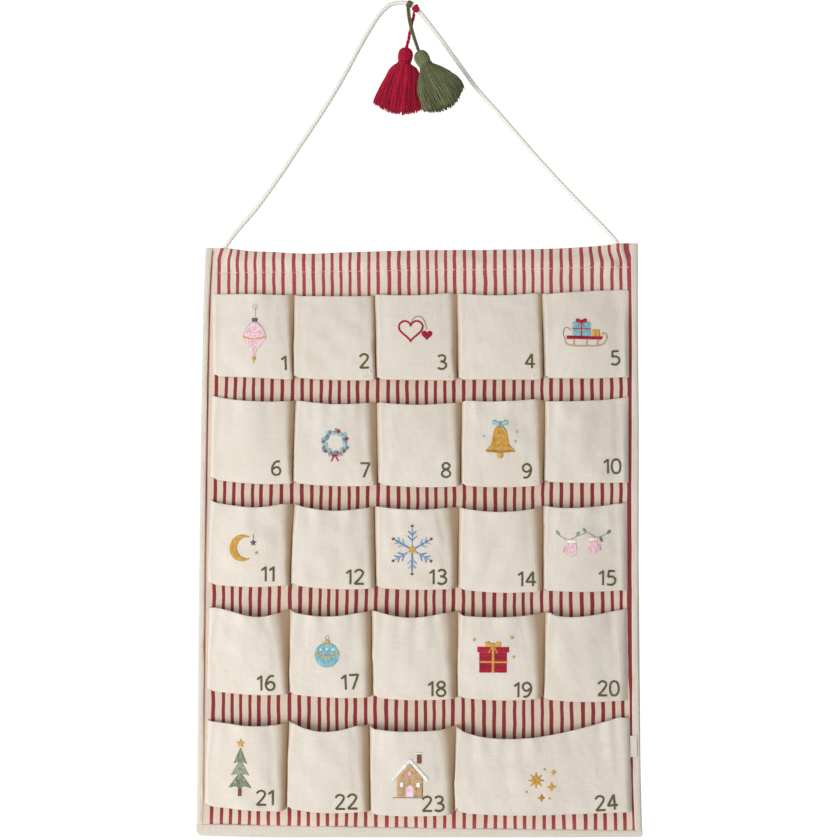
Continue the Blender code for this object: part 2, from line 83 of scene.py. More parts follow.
# The cloth stops this far inside the edge, under the bindings
EDGE_GAP = 0.0012
# The rounding of the panel's lower left and lower right corners
CORNER_ROUND = 0.0055
RIGHT_ROUND = 0.0022


def spline(points):
    """A smooth function through (place, value) pairs, level beyond both ends."""
    xs = np.array([p[0] for p in points], float)
    ys = np.array([p[1] for p in points], float)
    slopes = np.gradient(ys, xs)

    def read(x):
        x = np.clip(x, xs[0], xs[-1])
        i = np.clip(np.searchsorted(xs, x) - 1, 0, len(xs) - 2)
        step = xs[i + 1] - xs[i]
        t = (x - xs[i]) / step
        return (
            (2 * t**3 - 3 * t**2 + 1) * ys[i]
            + (t**3 - 2 * t**2 + t) * step * slopes[i]
            + (3 * t**2 - 2 * t**3) * ys[i + 1]
            + (t**3 - t**2) * step * slopes[i + 1]
        )

    return read


# The top edge and the row of stitches under it, in pixels across and down
TOP_PX = ((205, 248.8), (222, 248.6), (250, 251.8), (275, 252.9), (300, 254.4), (340, 253.4), (380, 252),
          (420, 250.9), (470, 250.6), (520, 250), (560, 249.0), (600, 246.2), (620, 244.2), (637, 243.8))
STITCH_PX = ((211, 273.5), (250, 272.6), (300, 272.4), (420, 270.6), (540, 269.4), (600, 268), (632, 267.4))
LEFT_PX = ((247, 205.8), (300, 203.6), (360, 202.4), (420, 201.1), (520, 199.9), (620, 198.7), (720, 197.8),
           (800, 197.2), (836, 196.8))
RIGHT_PX = ((243, 637.8), (330, 637.9), (420, 638.7), (520, 638.7), (620, 638.6), (720, 639.7), (800, 641.2),
            (836, 642.2))
BOTTOM_PX = ((196, 835.4), (250, 837.0), (350, 837.3), (450, 837.3), (550, 837.3), (642, 836.8))
# Visible inner edges of the side bindings
LEFT_INNER_PX = ((250, 212.7), (275, 210.7), (300, 209.7), (360, 208.0), (420, 207.0), (520, 205.6),
                 (620, 204.7),
                 (720, 204.1), (800, 203.7), (836, 203.6))
RIGHT_INNER_PX = ((250, 630.8), (300, 631.3), (350, 631.6), (430, 631.4), (490, 631.2), (560, 631.3),
                  (640, 631.7),
                  (690, 631.9), (730, 632.0), (770, 632.5), (800, 633.5), (836, 634.8))


def between(a, b, share):
    return a + (b - a) * share


def ease(x, low, high):
    """From 0 at low to 1 at high, with soft ends."""
    t = np.clip((x - low) / (high - low), 0.0, 1.0)
    return t * t * (3 - 2 * t)


def hump(x, width):
    """A smooth rise that is 1 at 0 and has nearly gone at twice the width."""
    return np.exp(-((x / width) ** 2))


def wander(x, y, seed, size):
    """A slow noise between about -1 and 1 on arrays of places, the same on each run."""
    x, y = np.broadcast_arrays(np.asarray(x, float), np.asarray(y, float))
    rng = np.random.default_rng(seed)
    total = np.zeros(x.shape)
    for _ in range(7):
        angle, phase = rng.uniform(0, 2 * math.pi, 2)
        rate = rng.uniform(0.55, 1.5) * 2 * math.pi / size
        total += np.sin(rate * (x * math.cos(angle) + y * math.sin(angle)) + phase)
    return total / 3.2


def upright(points, shift=0.0):
    """A line's place across as a function of its height, from pairs of pixels down and across."""
    places = [at(across, down) for down, across in points]
    return spline(sorted((z, x + shift) for x, z in places))


def level(points):
    """A line's height as a function of its place across, from pairs of pixels across and down."""
    return spline([at(u, v) for u, v in points])


# How far the side bindings' rounded lips reach in past LEFT_INNER_X and RIGHT_INNER_X
INNER_LIP = 0.0006
LEFT_X, RIGHT_X = upright(LEFT_PX), upright(RIGHT_PX)
LEFT_INNER_X, RIGHT_INNER_X = upright(LEFT_INNER_PX, -INNER_LIP), upright(RIGHT_INNER_PX, INNER_LIP)
TOP_Z, STITCH_Z, BOTTOM_Z = level(TOP_PX), level(STITCH_PX), level(BOTTOM_PX)
BOTTOM_INNER_Z = spline([(PANEL_LEFT, -0.8682), (0.02, -0.8706), (PANEL_RIGHT, -0.8720)])
LOWER_STITCH_Z = spline([(PANEL_LEFT, -0.8738), (0.02, -0.8752), (PANEL_RIGHT, -0.8756)])

STRIPE_GAPS = 43
# The woven stripes at seven heights: pixels down, first and last stripe across, how far the middle bows to
# the left, and how far the ten stripes of the pattern's repeat lie off an even spacing
WEAVE_PX = (
    (262, 218.6, 629.7, -2.1, (0.7, 1.5, 0.6, -0.3, -0.4, -1.4, -0.6, -1.3, 0.5, 0.8)),
    (285, 218.2, 629.9, -1.6, (0.8, 1.5, 0.6, -0.2, -0.6, -1.5, -0.7, -1.4, 0.6, 0.9)),
    (388, 216.2, 630.4, -2.1, (0.2, 0.9, 0.3, -0.3, -0.3, -1.2, -0.9, -0.2, 0.7, 0.7)),
    (490, 214.4, 630.1, -0.4, (1.1, 0.7, 0.4, -0.6, 0.1, -1.5, -1.1, -0.3, 0.3, 0.9)),
    (597, 212.7, 630.5, -1.1, (1.7, 1.4, 0.5, -1.2, -0.5, -1.3, -0.8, -1.1, 0.4, 0.8)),
    (706, 212.6, 632.0, -2.4, (0.6, 1.6, 0.7, -0.5, -0.5, -1.6, -0.6, -1.1, 0.6, 0.7)),
    (819, 211.2, 634.7, -2.5, (0.3, 0.8, 0.1, -0.6, -0.3, -1.1, -0.6, -0.4, 1.1, 0.8)),
)


def stripe_lines():
    """Each stripe's place across as a function of the height, with one more line beyond either side."""
    lines = []
    for n in range(-1, STRIPE_GAPS + 2):
        u = n / STRIPE_GAPS
        lines.append(upright([(v, between(first, last, u) + bow * 4 * u * (1 - u) + repeat[n % 10])
                              for v, first, last, bow, repeat in WEAVE_PX]))
    return lines


# Meshes

TINY = 1e-12
FORWARD = (0.0, -1.0, 0.0)


def unit(vectors, tiny=0.0):
    """The vectors made one long; tiny keeps a vector of no length from dividing by 0."""
    return vectors / (np.linalg.norm(vectors, axis=-1, keepdims=True) + tiny)


def run_along(points):
    """How far each point lies along the line through them all."""
    return np.concatenate([[0], np.cumsum(np.linalg.norm(np.diff(points, axis=0), axis=1))])


def read_line(reads, run, line):
    """The line's points at these runs along it."""
    return np.stack([np.interp(reads, run, line[:, k]) for k in range(line.shape[1])], 1)


def away_from(x, z, a, b):
    """How far places are from the straight line between the points a and b."""
    (x0, z0), (x1, z1) = a, b
    share = np.clip(((x - x0) * (x1 - x0) + (z - z0) * (z1 - z0)) / ((x1 - x0) ** 2 + (z1 - z0) ** 2), 0, 1)
    return np.hypot(x - between(x0, x1, share), z - between(z0, z1, share))


def one_colour(colour, verts):
    """This colour for every vertex."""
    return np.tile(np.array(colour), (len(verts), 1))


def new_piece(name, verts, faces, look, body="panel", uvs=None, tints=None):
    """A smooth mesh object that rides on a body. uvs and tints are one entry for each vertex."""
    mesh = bpy.data.meshes.new(name)
    mesh.from_pydata(np.asarray(verts, float).tolist(), [], [list(f) for f in faces])
    mesh.shade_smooth()
    loops = np.zeros(len(mesh.loops), np.int32)
    mesh.loops.foreach_get("vertex_index", loops)
    for layer, values in (uvs or {}).items():
        uv = mesh.uv_layers.new(name=layer)
        uv.data.foreach_set("uv", np.asarray(values, np.float32)[loops].ravel())
    if tints is not None:
        rgba = np.ones((len(mesh.vertices), 4), np.float32)
        rgba[:, :3] = tints
        mesh.attributes.new("tint", "FLOAT_COLOR", "POINT").data.foreach_set("color", rgba.ravel())
    piece = bpy.data.objects.new(name, mesh)
    bpy.context.scene.collection.objects.link(piece)
    mesh.materials.append(look)
    if body:
        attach(piece, body)
    return piece


def grid_faces(rows, columns, first=0, closed=False):
    """Quads between rows of points; closed joins each row's last point to its first."""
    i, j = np.meshgrid(np.arange(rows - 1), np.arange(columns if closed else columns - 1), indexing="ij")
    right = (j + 1) % columns
    quads = np.stack([i * columns + j, i * columns + right, (i + 1) * columns + right, (i + 1) * columns + j],
                     -1)
    return (quads.reshape(-1, 4) + first).tolist()


def tube_ends(start, rings, sides):
    """The two faces that close a tube whose points begin at start."""
    last = start + (rings - 1) * sides
    return [list(range(start + sides - 1, start - 1, -1)), list(range(last, last + sides))]


def tubes(paths, widths, heights=None, sides=6, front=FORWARD, taper=0.45, colours=None):
    """Many small rods in one mesh: paths is rods x points x 3; front is the way their flat side faces."""
    paths = np.asarray(paths, float)
    rods, points = paths.shape[:2]
    heights = widths if heights is None else heights
    widths, heights = (np.broadcast_to(np.asarray(sizes, float).reshape(-1, 1), (rods, points)) / 2
                       for sizes in (widths, heights))
    along = unit(np.gradient(paths, axis=1), TINY)
    side = unit(np.cross(along, np.broadcast_to(np.asarray(front, float), along.shape)), TINY)
    out = np.cross(side, along)
    shape = np.ones(points)
    shape[0] = shape[-1] = taper
    angles = np.arange(sides) * 2 * math.pi / sides
    ring = (
        paths[:, :, None]
        + side[:, :, None] * (np.cos(angles)[None, None, :] * (widths * shape)[:, :, None])[..., None]
        + out[:, :, None] * (np.sin(angles)[None, None, :] * (heights * shape)[:, :, None])[..., None]
    )
    verts = ring.reshape(-1, 3)
    base = np.array(grid_faces(points, sides, 0, True))
    starts = np.arange(rods) * points * sides
    faces = (base[None] + starts[:, None, None]).reshape(-1, 4).tolist()
    for start in starts.tolist():
        faces += tube_ends(start, points, sides)
    tints = None if colours is None else np.repeat(np.asarray(colours, float), points * sides, axis=0)
    return verts, faces, tints


def joined(*parts):
    """Several (verts, faces, tints) as one."""
    verts, faces, tints, first = [], [], [], 0
    for v, f, t in parts:
        verts.append(v)
        faces += [[i + first for i in face] for face in f]
        tints.append(np.ones((len(v), 3)) if t is None else t)
        first += len(v)
    return np.concatenate(verts), faces, np.concatenate(tints)


def resampled(points, step):
    """The same polyline with its points about step apart, and the run to each of them."""
    points = np.asarray(points, float)
    run = run_along(points)
    reads = np.linspace(0, run[-1], max(2, int(round(run[-1] / step)) + 1))
    return read_line(reads, run, points), reads


def rounded_line(points, steps=12):
    """A smooth line through the points."""
    p = np.asarray(points, float)
    p = np.concatenate([[2 * p[0] - p[1]], p, [2 * p[-1] - p[-2]]])
    dense = []
    for a, b, c, d in zip(p, p[1:], p[2:], p[3:]):
        for i in range(steps):
            t = i / steps
            dense.append((2 * b + (c - a) * t + (2 * a - 5 * b + 4 * c - d) * t**2
                          + (3 * b - a - 3 * c + d) * t**3) / 2)
    dense.append(p[-2])
    return np.array(dense)


def rope(points, radius, strands, lay, step, sides=6, depth=0.24):
    """A twisted rope: one skin whose section has a lobe for each strand, turning once in lay."""
    line, run = resampled(points, step)
    along = unit(np.gradient(line, axis=0))
    side = np.zeros_like(along)
    side[0] = np.cross(along[0], FORWARD)
    for i in range(len(line)):
        if i:
            side[i] = side[i - 1] - along[i] * (side[i - 1] @ along[i])
        side[i] /= np.linalg.norm(side[i])
    out = np.cross(side, along)
    count = strands * sides
    angles = np.arange(count) * 2 * math.pi / count
    turn = run * 2 * math.pi / lay
    lobes = 1 - depth * (1 - np.abs(np.cos(strands * angles / 2))) ** 1.3
    around = angles[None] + turn[:, None]
    rings = (
        line[:, None]
        + side[:, None] * (np.cos(around) * lobes[None] * radius)[..., None]
        + out[:, None] * (np.sin(around) * lobes[None] * radius)[..., None]
    )
    verts = rings.reshape(-1, 3)
    faces = grid_faces(len(line), count, 0, True) + tube_ends(0, len(line), count)
    uv = np.stack([np.broadcast_to(angles[None] * strands / (2 * math.pi), rings.shape[:2]),
                   np.broadcast_to(run[:, None], rings.shape[:2])], -1).reshape(-1, 2)
    return verts, faces, uv, line


# Materials


class Tree:
    """Short ways to add and join the nodes of a node tree."""

    def __init__(self, tree):
        self.tree = tree

    def add(self, kind, **settings):
        node = self.tree.nodes.new(kind)
        for name, value in settings.items():
            setattr(node, name, value)
        return node

    def put(self, socket, value):
        if isinstance(value, bpy.types.NodeSocket):
            self.tree.links.new(value, socket)
        elif value is not None:
            socket.default_value = value

    def fed(self, kind, *values, **settings):
        """The outputs of a new node whose first inputs are given in order."""
        node = self.add(kind, **settings)
        for socket, value in zip(node.inputs, values):
            self.put(socket, value)
        return node.outputs

    def math(self, work, a, b=None, c=None, clamp=False):
        return self.fed("ShaderNodeMath", a, b, c, operation=work, use_clamp=clamp)[0]

    def times(self, a, b):
        return self.math("MULTIPLY", a, b)

    def plus(self, a, b, clamp=False):
        return self.math("ADD", a, b, clamp=clamp)

    def scaled_onto(self, a, scale, onto):
        return self.math("MULTIPLY_ADD", a, scale, onto)

    def centred(self, value):
        """A noise between 0 and 1 moved to lie about 0."""
        return self.math("SUBTRACT", value, 0.5)

    def split(self, value):
        return self.fed("ShaderNodeSeparateXYZ", value)

    def vector(self, x, y, z=0.0):
        return self.fed("ShaderNodeCombineXYZ", x, y, z)[0]

    def ramp(self, value, low, high, to_low=0.0, to_high=1.0, soft=True):
        return self.fed("ShaderNodeMapRange", value, low, high, to_low, to_high,
                        interpolation_type="SMOOTHSTEP" if soft else "LINEAR")["Result"]


class Nodes(Tree):
    """A material's nodes, ending in its shader."""

    def __init__(self, name, roughness=0.9, sheen=0.0, sheen_tint=(1.0, 1.0, 1.0)):
        self.look = bpy.data.materials.new(name)
        self.look.use_nodes = True
        super().__init__(self.look.node_tree)
        self.shader = self.tree.nodes["Principled BSDF"]
        self.shader.inputs["Roughness"].default_value = roughness
        self.shader.inputs["Specular IOR Level"].default_value = 0.25
        self.shader.inputs["Sheen Weight"].default_value = sheen
        self.shader.inputs["Sheen Roughness"].default_value = 0.5
        self.shader.inputs["Sheen Tint"].default_value = (*sheen_tint, 1.0)

    def uv(self, layer):
        return self.add("ShaderNodeUVMap", uv_map=layer).outputs[0]

    def tint(self):
        return self.add("ShaderNodeAttribute", attribute_name="tint").outputs["Color"]

    def place(self):
        return self.add("ShaderNodeTexCoord").outputs["Object"]

    def noise(self, place, scale, detail=2.0, roughness=0.5):
        node = self.add("ShaderNodeTexNoise")
        self.put(node.inputs["Vector"], place)
        node.inputs["Scale"].default_value = scale
        node.inputs["Detail"].default_value = detail
        node.inputs["Roughness"].default_value = roughness
        return node.outputs["Fac"]

    def mix(self, share, a, b):
        node = self.add("ShaderNodeMix", data_type="RGBA")
        self.put(node.inputs["Factor"], share)
        for socket, value in zip([s for s in node.inputs if s.type == "RGBA"], (a, b)):
            self.put(socket, (*value, 1.0) if isinstance(value, tuple) and len(value) == 3 else value)
        return [s for s in node.outputs if s.type == "RGBA"][0]

    def shaded(self, colour, factor):
        """The colour made lighter or darker by a factor near 1."""
        node = self.add("ShaderNodeVectorMath", operation="SCALE")
        self.put(node.inputs[0], colour)
        self.put(node.inputs["Scale"], factor)
        return node.outputs[0]

    def bump(self, height, strength, distance):
        node = self.add("ShaderNodeBump")
        self.put(node.inputs["Height"], height)
        node.inputs["Strength"].default_value = strength
        node.inputs["Distance"].default_value = distance
        self.put(self.shader.inputs["Normal"], node.outputs["Normal"])

    def finish(self, colour):
        self.put(self.shader.inputs["Base Color"], colour)
        return self.look


def srgb(*levels):
    """A colour from its levels between 0 and 255."""
    return tuple((c / 255 / 12.92) if c <= 10 else ((c / 255 + 0.055) / 1.055) ** 2.4 for c in levels)


THREAD_PITCH = 0.00062
# Depths below the hook between which the stripes change over: from the band at the top to the rows of
# pockets, from the band at the bottom to the rows, and along the last stripe
TOP_BAND = (0.312, 0.350)
BOTTOM_BAND = (0.872, 0.852)
LOWER_PART = (0.735, 0.715)
CANVAS_COLOUR = srgb(232, 222, 208)
CANVAS_DARK = srgb(221, 208, 189)
STRIPED_COLOUR = srgb(232, 215, 197)
STRIPED_DARK = srgb(221, 202, 179)
# The colour of painted shade, in the pockets' folds and in the cloth among the rows of pockets
PAINTED_SHADE_COLOUR = srgb(182, 147, 100)
FLECK_COLOUR = srgb(158, 132, 98)
STRIPE_COLOUR = srgb(156, 52, 60)
STRIPE_LIGHT = srgb(184, 92, 96)
# A painted shade red for the stripes among the rows of pockets
STRIPE_PAINTED_SHADE = srgb(118, 32, 40)


def stripes(n, base, down, weave, grain):
    """Woven red stripes, with painted shade among the rows of pockets. Their uv layer holds the stripe's
    number and the left side's thin line.
    """
    across = n.split(n.uv("stripe"))
    number = across[0]
    wobble = n.noise(n.vector(n.times(number, 0.9), n.times(down, 620.0), 3.0), 1.0, 2.0)
    sway = n.noise(n.vector(number, n.times(down, 42.0), 9.0), 1.0, 2.0)
    number = n.scaled_onto(n.centred(wobble), 0.05, number)
    number = n.scaled_onto(n.centred(sway), 0.04, number)
    nearest = n.math("ROUND", number)
    away = n.math("ABSOLUTE", n.math("SUBTRACT", number, nearest))
    own = n.noise(n.vector(n.math("WRAP", nearest, 10.0, 0.0), 0.0, 4.0), 5.3, 0.0)
    # a stripe is a little wider among the rows of pockets, and the last one is wider still; among the rows
    # the stripes and the cloth between them are also darkened with painted shade
    rows = n.times(n.ramp(down, *TOP_BAND), n.ramp(down, *BOTTOM_BAND))
    half = n.scaled_onto(own, 0.07, n.scaled_onto(rows, 0.008, 0.142))
    wider = n.scaled_onto(n.ramp(down, *LOWER_PART), 0.07, 0.05)
    half = n.scaled_onto(n.ramp(nearest, STRIPE_GAPS - 0.6, STRIPE_GAPS - 0.4), wider, half)
    red = n.ramp(n.math("SUBTRACT", away, half), 0.022, -0.022)
    inside = n.times(n.ramp(nearest, -0.6, -0.4), n.ramp(nearest, STRIPE_GAPS + 0.6, STRIPE_GAPS + 0.4))
    red = n.math("MAXIMUM", n.times(red, inside), across[1])
    thread = n.ramp(n.plus(n.times(weave, 0.6), grain), 0.62, 1.18)
    # painted shade among the rows: the red goes toward the painted shade red, and the cloth toward the
    # painted shade colour
    stripe_red_with_painted_shade = n.mix(n.times(rows, 0.65), n.mix(thread, STRIPE_COLOUR, STRIPE_LIGHT), STRIPE_PAINTED_SHADE)
    return n.mix(red, n.mix(n.times(rows, 0.17), base, PAINTED_SHADE_COLOUR), stripe_red_with_painted_shade)


def canvas(name, colour, dark, fleck=0.5, bumpiness=0.3, striped=False, tint_paints_light_and_shade=False):
    """Plain weave cotton: crossing threads, thick places, small flecks and uneven colour; a tint on the mesh
    can add painted shade and painted light.
    """
    n = Nodes(name, roughness=0.92, sheen=0.12, sheen_tint=(1.0, 0.97, 0.92))
    uv = n.uv("cloth")
    across, down, _ = n.split(uv)
    drift = n.noise(uv, 55.0, 3.0)
    a, b = (n.math("SINE", n.times(n.scaled_onto(drift, sway, place), math.pi / THREAD_PITCH))
            for sway, place in ((0.0022, across), (-0.0018, down)))
    over = n.times(a, b)
    warp = n.times(n.math("ABSOLUTE", a), n.scaled_onto(over, 0.42, 0.58))
    weft = n.times(n.math("ABSOLUTE", b), n.scaled_onto(over, -0.42, 0.58))
    weave = n.math("MAXIMUM", warp, weft)
    warp_slub = n.noise(n.vector(n.times(across, 900.0), n.times(down, 38.0)), 1.0, 2.0)
    weft_slub = n.noise(n.vector(n.times(across, 38.0), n.times(down, 900.0), 7.0), 1.0, 2.0)
    slub = n.plus(warp_slub, weft_slub)
    cloud = n.noise(uv, 14.0, 3.0, 0.6)
    grain = n.noise(uv, 520.0, 2.0, 0.6)
    tone = n.plus(n.ramp(slub, 0.30, 1.70), n.times(n.centred(cloud), 1.2))
    tone = n.plus(tone, n.times(n.centred(grain), 0.9), clamp=True)
    base = n.mix(tone, dark, colour)
    flecks = n.noise(n.vector(n.times(across, 1.0), n.times(down, 1.6)), 760.0, 1.0)
    base = n.mix(n.times(n.ramp(flecks, 0.735, 0.79), fleck), base, FLECK_COLOUR)
    if striped:
        base = stripes(n, base, down, weave, grain)
    if tint_paints_light_and_shade:
        # painted shade and light: the mesh's tint mixes the cloth toward the painted shade colour, and a tint
        # above 1 makes it lighter
        base = n.mix(n.split(n.tint())[0], PAINTED_SHADE_COLOUR, base)
    n.bump(n.plus(n.times(weave, 0.55), n.times(slub, 0.55)), bumpiness, 0.00035)
    return n.finish(base)


def yarn(name, sheen=0.06, bumpiness=0.6, level=0.62):
    """Cotton yarn or embroidery floss: its colour is the mesh's tint, broken by fine twisted fibres."""
    n = Nodes(name, roughness=0.78, sheen=sheen)
    tint, place = n.tint(), n.place()
    fine = n.noise(place, 2600.0, 2.0, 0.6)
    broad = n.noise(place, 420.0, 2.0)
    n.bump(fine, bumpiness, 0.00025)
    return n.finish(n.shaded(tint, n.plus(n.scaled_onto(fine, 0.50, level), n.times(n.centred(broad), 0.5))))


def cord_cotton(name):
    """Twisted natural cotton: fibres lie along each strand, and the grooves between strands are darkened with
    painted shade.
    """
    n = Nodes(name, roughness=0.85, sheen=0.2)
    lobe, run, _ = n.split(n.uv("rope"))
    inside = n.math("ABSOLUTE", n.math("SINE", n.times(lobe, math.pi)))
    fibre = n.noise(n.vector(n.times(lobe, 9.0), n.times(run, 260.0)), 1.0, 3.0, 0.6)
    slant = n.math("SINE", n.plus(n.times(lobe, 26.0), n.times(run, 5200.0)))
    colour = n.mix(fibre, srgb(242, 233, 215), srgb(252, 249, 241))
    # painted shade in the grooves between the strands
    colour = n.mix(n.times(n.ramp(inside, 0.60, 1.0), 0.26), colour, srgb(210, 193, 164))
    n.bump(n.plus(n.times(slant, 0.3), fibre), 0.3, 0.0002)
    return n.finish(colour)


def pine(name):
    """Pale planed wood with its grain along X."""
    n = Nodes(name, roughness=0.55)
    x, y, z = n.split(n.place())
    grain = n.noise(n.vector(n.times(x, 12.0), n.times(y, 420.0), n.times(z, 420.0)), 1.0, 4.0, 0.6)
    n.bump(grain, 0.25, 0.0002)
    return n.finish(n.mix(grain, srgb(196, 160, 112), srgb(228, 203, 160)))


CANVAS = canvas("pocket_canvas", CANVAS_COLOUR, CANVAS_DARK, tint_paints_light_and_shade=True)
STRIPED = canvas("striped_canvas", STRIPED_COLOUR, STRIPED_DARK, striped=True)
LINING = canvas("lining_canvas", srgb(233, 222, 203), srgb(221, 207, 184))
BINDING = canvas("binding_canvas", srgb(226, 216, 201), srgb(214, 201, 182), bumpiness=0.4)
LABEL = canvas("woven_label", srgb(238, 228, 208), srgb(222, 208, 184), fleck=0.0, bumpiness=0.8)
YARN = yarn("cotton_yarn")
FLOSS = yarn("embroidery_floss", sheen=0.08, level=0.88)
CORD = cord_cotton("cotton_cord")
WOOD = pine("pale_wood")

# Striped cloth

ROD_Z = -0.2837
ROD_FRONT = 0.0041
ROD_ENDS = (-0.177, 0.224)
# Where the cord enters the top seam, and where its sewn ends stop inside the casing
LEFT_EXIT = Vector((-0.1858, 0.0, -0.2643))
RIGHT_EXIT = Vector((0.2326, 0.0, -0.2643))
TAIL_FEET = ((-0.1925, -0.2835), (0.2385, -0.2835))
TAIL_RIDGE = 0.0021
CASING_BACK = 0.0011
BODY_ROWS = 210
CASING_ROWS = 26
FOLD_ROWS = 5
CLOTH_COLUMNS = 320


def tail_ridge(x, z):
    """How far the cord's sewn ends push the cloth out."""
    total = 0.0
    for start, foot in zip(((LEFT_EXIT.x, -0.2640), (RIGHT_EXIT.x, -0.2600)), TAIL_FEET):
        total = total + hump(away_from(x, z, start, foot), 0.0031)
    return TAIL_RIDGE * np.clip(total, 0, 1)


def rod_bulge(x, z):
    """How far the rod in the casing pushes the cloth out."""
    left, right = ROD_ENDS
    taper = ease(x, left - 0.014, left - 0.001) * ease(x, right + 0.014, right + 0.001)
    away = z - ROD_Z
    return ROD_FRONT * np.where(away > 0, hump(away, 0.0125), hump(away, 0.0084)) * taper


def cloth_relief(x, z):
    """How far the striped cloth stands forward of its flat place: rod, cord ends, puckers and slow waves."""
    stitch = STITCH_Z(x)
    puckers = 0.00038 * wander(x, z * 0.15, 31, 0.011) * hump(z - stitch, 0.006)
    fold = 0.0009 * wander(x, z * 0.4, 32, 0.045) * ease(z, stitch + 0.004, stitch + 0.016)
    waves = 0.00045 * wander(x, z * 0.55, 33, 0.052) * ease(z, stitch, stitch - 0.006)
    row = hump(z - stitch, 0.0011) * 0.00045
    return rod_bulge(x, z) + tail_ridge(x, z) + puckers + fold + waves - row


STRIPE_LINES = stripe_lines()
STRIPE_NUMBERS = np.arange(-1, STRIPE_GAPS + 2)


def stripe_place(x, z):
    """The stripe number at a place: whole numbers are the middles of stripes."""
    drawn = np.array(x, float)
    # the cord draws the weave sideways where it enters the seam
    for px, lean, wide in ((LEFT_EXIT.x, 0.0038, 0.013), (RIGHT_EXIT.x, -0.0030, 0.034),
                           (RIGHT_EXIT.x + 0.008, -0.0012, 0.008)):
        drawn = drawn - lean * hump(x - px, wide) * ease(z, -0.2830, -0.2660)
    drawn = drawn + 0.00020 * wander(x, z, 42, 0.030)
    places = np.array([line(z) for line in STRIPE_LINES])
    return np.array([np.interp(drawn[i], places[:, i], STRIPE_NUMBERS) for i in range(len(drawn))])


def corner_pull(above):
    """How far the rounded lower left corner draws the edge in, this far above the bottom."""
    lift = np.clip(CORNER_ROUND - above, 0, CORNER_ROUND)
    return CORNER_ROUND - np.sqrt(np.clip(CORNER_ROUND**2 - lift**2, 0, None))


def left_line(x, z):
    """The thin red line beside the left binding: the edge of a stripe that the binding covers."""
    inner = LEFT_INNER_X(z)
    broad = ease(x, inner + 0.0021, inner + 0.0016) * ease(z, -0.80, -0.50) * 0.8
    line = broad + ease(x, inner + 0.0016, inner + 0.0011) * 0.7
    return line * ease(z, -0.2700, -0.2740) * between(0.15, 1.0, ease(z, -0.8480, -0.8400))


def make_striped_cloth():
    """One cloth in four runs of rows: up the body and the casing's front, over the fold, down its back."""
    share_x = np.linspace(0, 1, CLOTH_COLUMNS)
    rows = [("body", s) for s in np.linspace(0, 1, BODY_ROWS)]
    rows += [("casing", s) for s in np.linspace(0, 1, CASING_ROWS)[1:]]
    rows += [("fold", s) for s in np.linspace(0, 1, FOLD_ROWS + 2)[1:-1]]
    rows += [("back", s) for s in np.linspace(0, 1, CASING_ROWS)]
    verts, cloth_uv, stripe_uv = [], [], []
    for kind, s in rows:
        guess = between(PANEL_BOTTOM, PANEL_TOP - CASING_HEM, s) if kind == "body" else PANEL_TOP
        left = LEFT_X(guess) + EDGE_GAP + corner_pull(guess - PANEL_BOTTOM)
        x = between(left, RIGHT_X(guess) - EDGE_GAP, share_x)
        top, seam = TOP_Z(x) - 0.0003, STITCH_Z(x) - 0.0025
        line = 0 * x
        if kind in ("body", "casing"):
            z = between(BOTTOM_Z(x) + EDGE_GAP, seam, s) if kind == "body" else between(seam, top, s)
            y = FRONT_Y - cloth_relief(x, z)
            down = z
            line = left_line(x, z)
        elif kind == "fold":
            lip = FRONT_Y - cloth_relief(x, top)
            z = top + 0.0008 * math.sin(math.pi * s)
            y = between(lip, CASING_BACK + tail_ridge(x, top), (1 - math.cos(math.pi * s)) / 2)
            down = top + 0.002 * s
        else:
            z = between(top, PANEL_TOP - CASING_HEM, s)
            y = CASING_BACK + rod_bulge(x, z) + tail_ridge(x, z) + 0.0003 * wander(x, z, 34, 0.03)
            down = 2 * top - z + 0.002
        verts.append(np.stack([x, y, z], 1))
        cloth_uv.append(np.stack([x, -down], 1))
        flat = np.minimum(z, PANEL_TOP) if kind != "back" else z
        stripe_uv.append(np.stack([stripe_place(x, flat), line], 1))
    piece = new_piece("striped_cloth", np.concatenate(verts), grid_faces(len(verts), CLOTH_COLUMNS), STRIPED,
                      uvs={"cloth": np.concatenate(cloth_uv), "stripe": np.concatenate(stripe_uv)})
    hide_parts("front_panel")


def make_lining():
    columns, rows = 70, 90
    x = np.linspace(PANEL_LEFT + EDGE_GAP, PANEL_RIGHT - EDGE_GAP, columns)[None].repeat(rows, 0)
    z = np.linspace(PANEL_BOTTOM + EDGE_GAP, PANEL_TOP - CASING_HEM + 0.001, rows)[:, None].repeat(columns, 1)
    x = np.maximum(x, LEFT_X(z) + EDGE_GAP + corner_pull(z - PANEL_BOTTOM))
    y = 0.0007 + 0.0002 * wander(x, z * 0.6, 51, 0.09)
    verts = np.stack([x, y, z], -1).reshape(-1, 3)
    piece = new_piece("lining_cloth", verts, grid_faces(rows, columns), LINING,
                      uvs={"cloth": verts[:, [0, 2]]})
    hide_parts("back_panel")


# Bindings

BINDING_FACE = 0.0024


def binding_section(width):
    """Half a folded strip's section, from its front inner edge to the outer fold: (inset, forward) pairs."""
    face = BINDING_FACE
    points = [(width, 0.0010), (width - 0.0001, 0.0014), (width - 0.0006, face - 0.0004),
              (width - 0.0012, face - 0.0001), (width - 0.0017, face - 0.00028),
              (width - 0.0024, face - 0.00002)]
    points += [(between(width - 0.0028, 0.0030, s), face + 0.0001 * math.sin(math.pi * s)) for s in (0, 0.5,
                                                                                                     1)]
    points += [(face * (1 - math.sin(a)), face * math.cos(a)) for a in np.linspace(0.15, math.pi / 2, 6)]
    return points


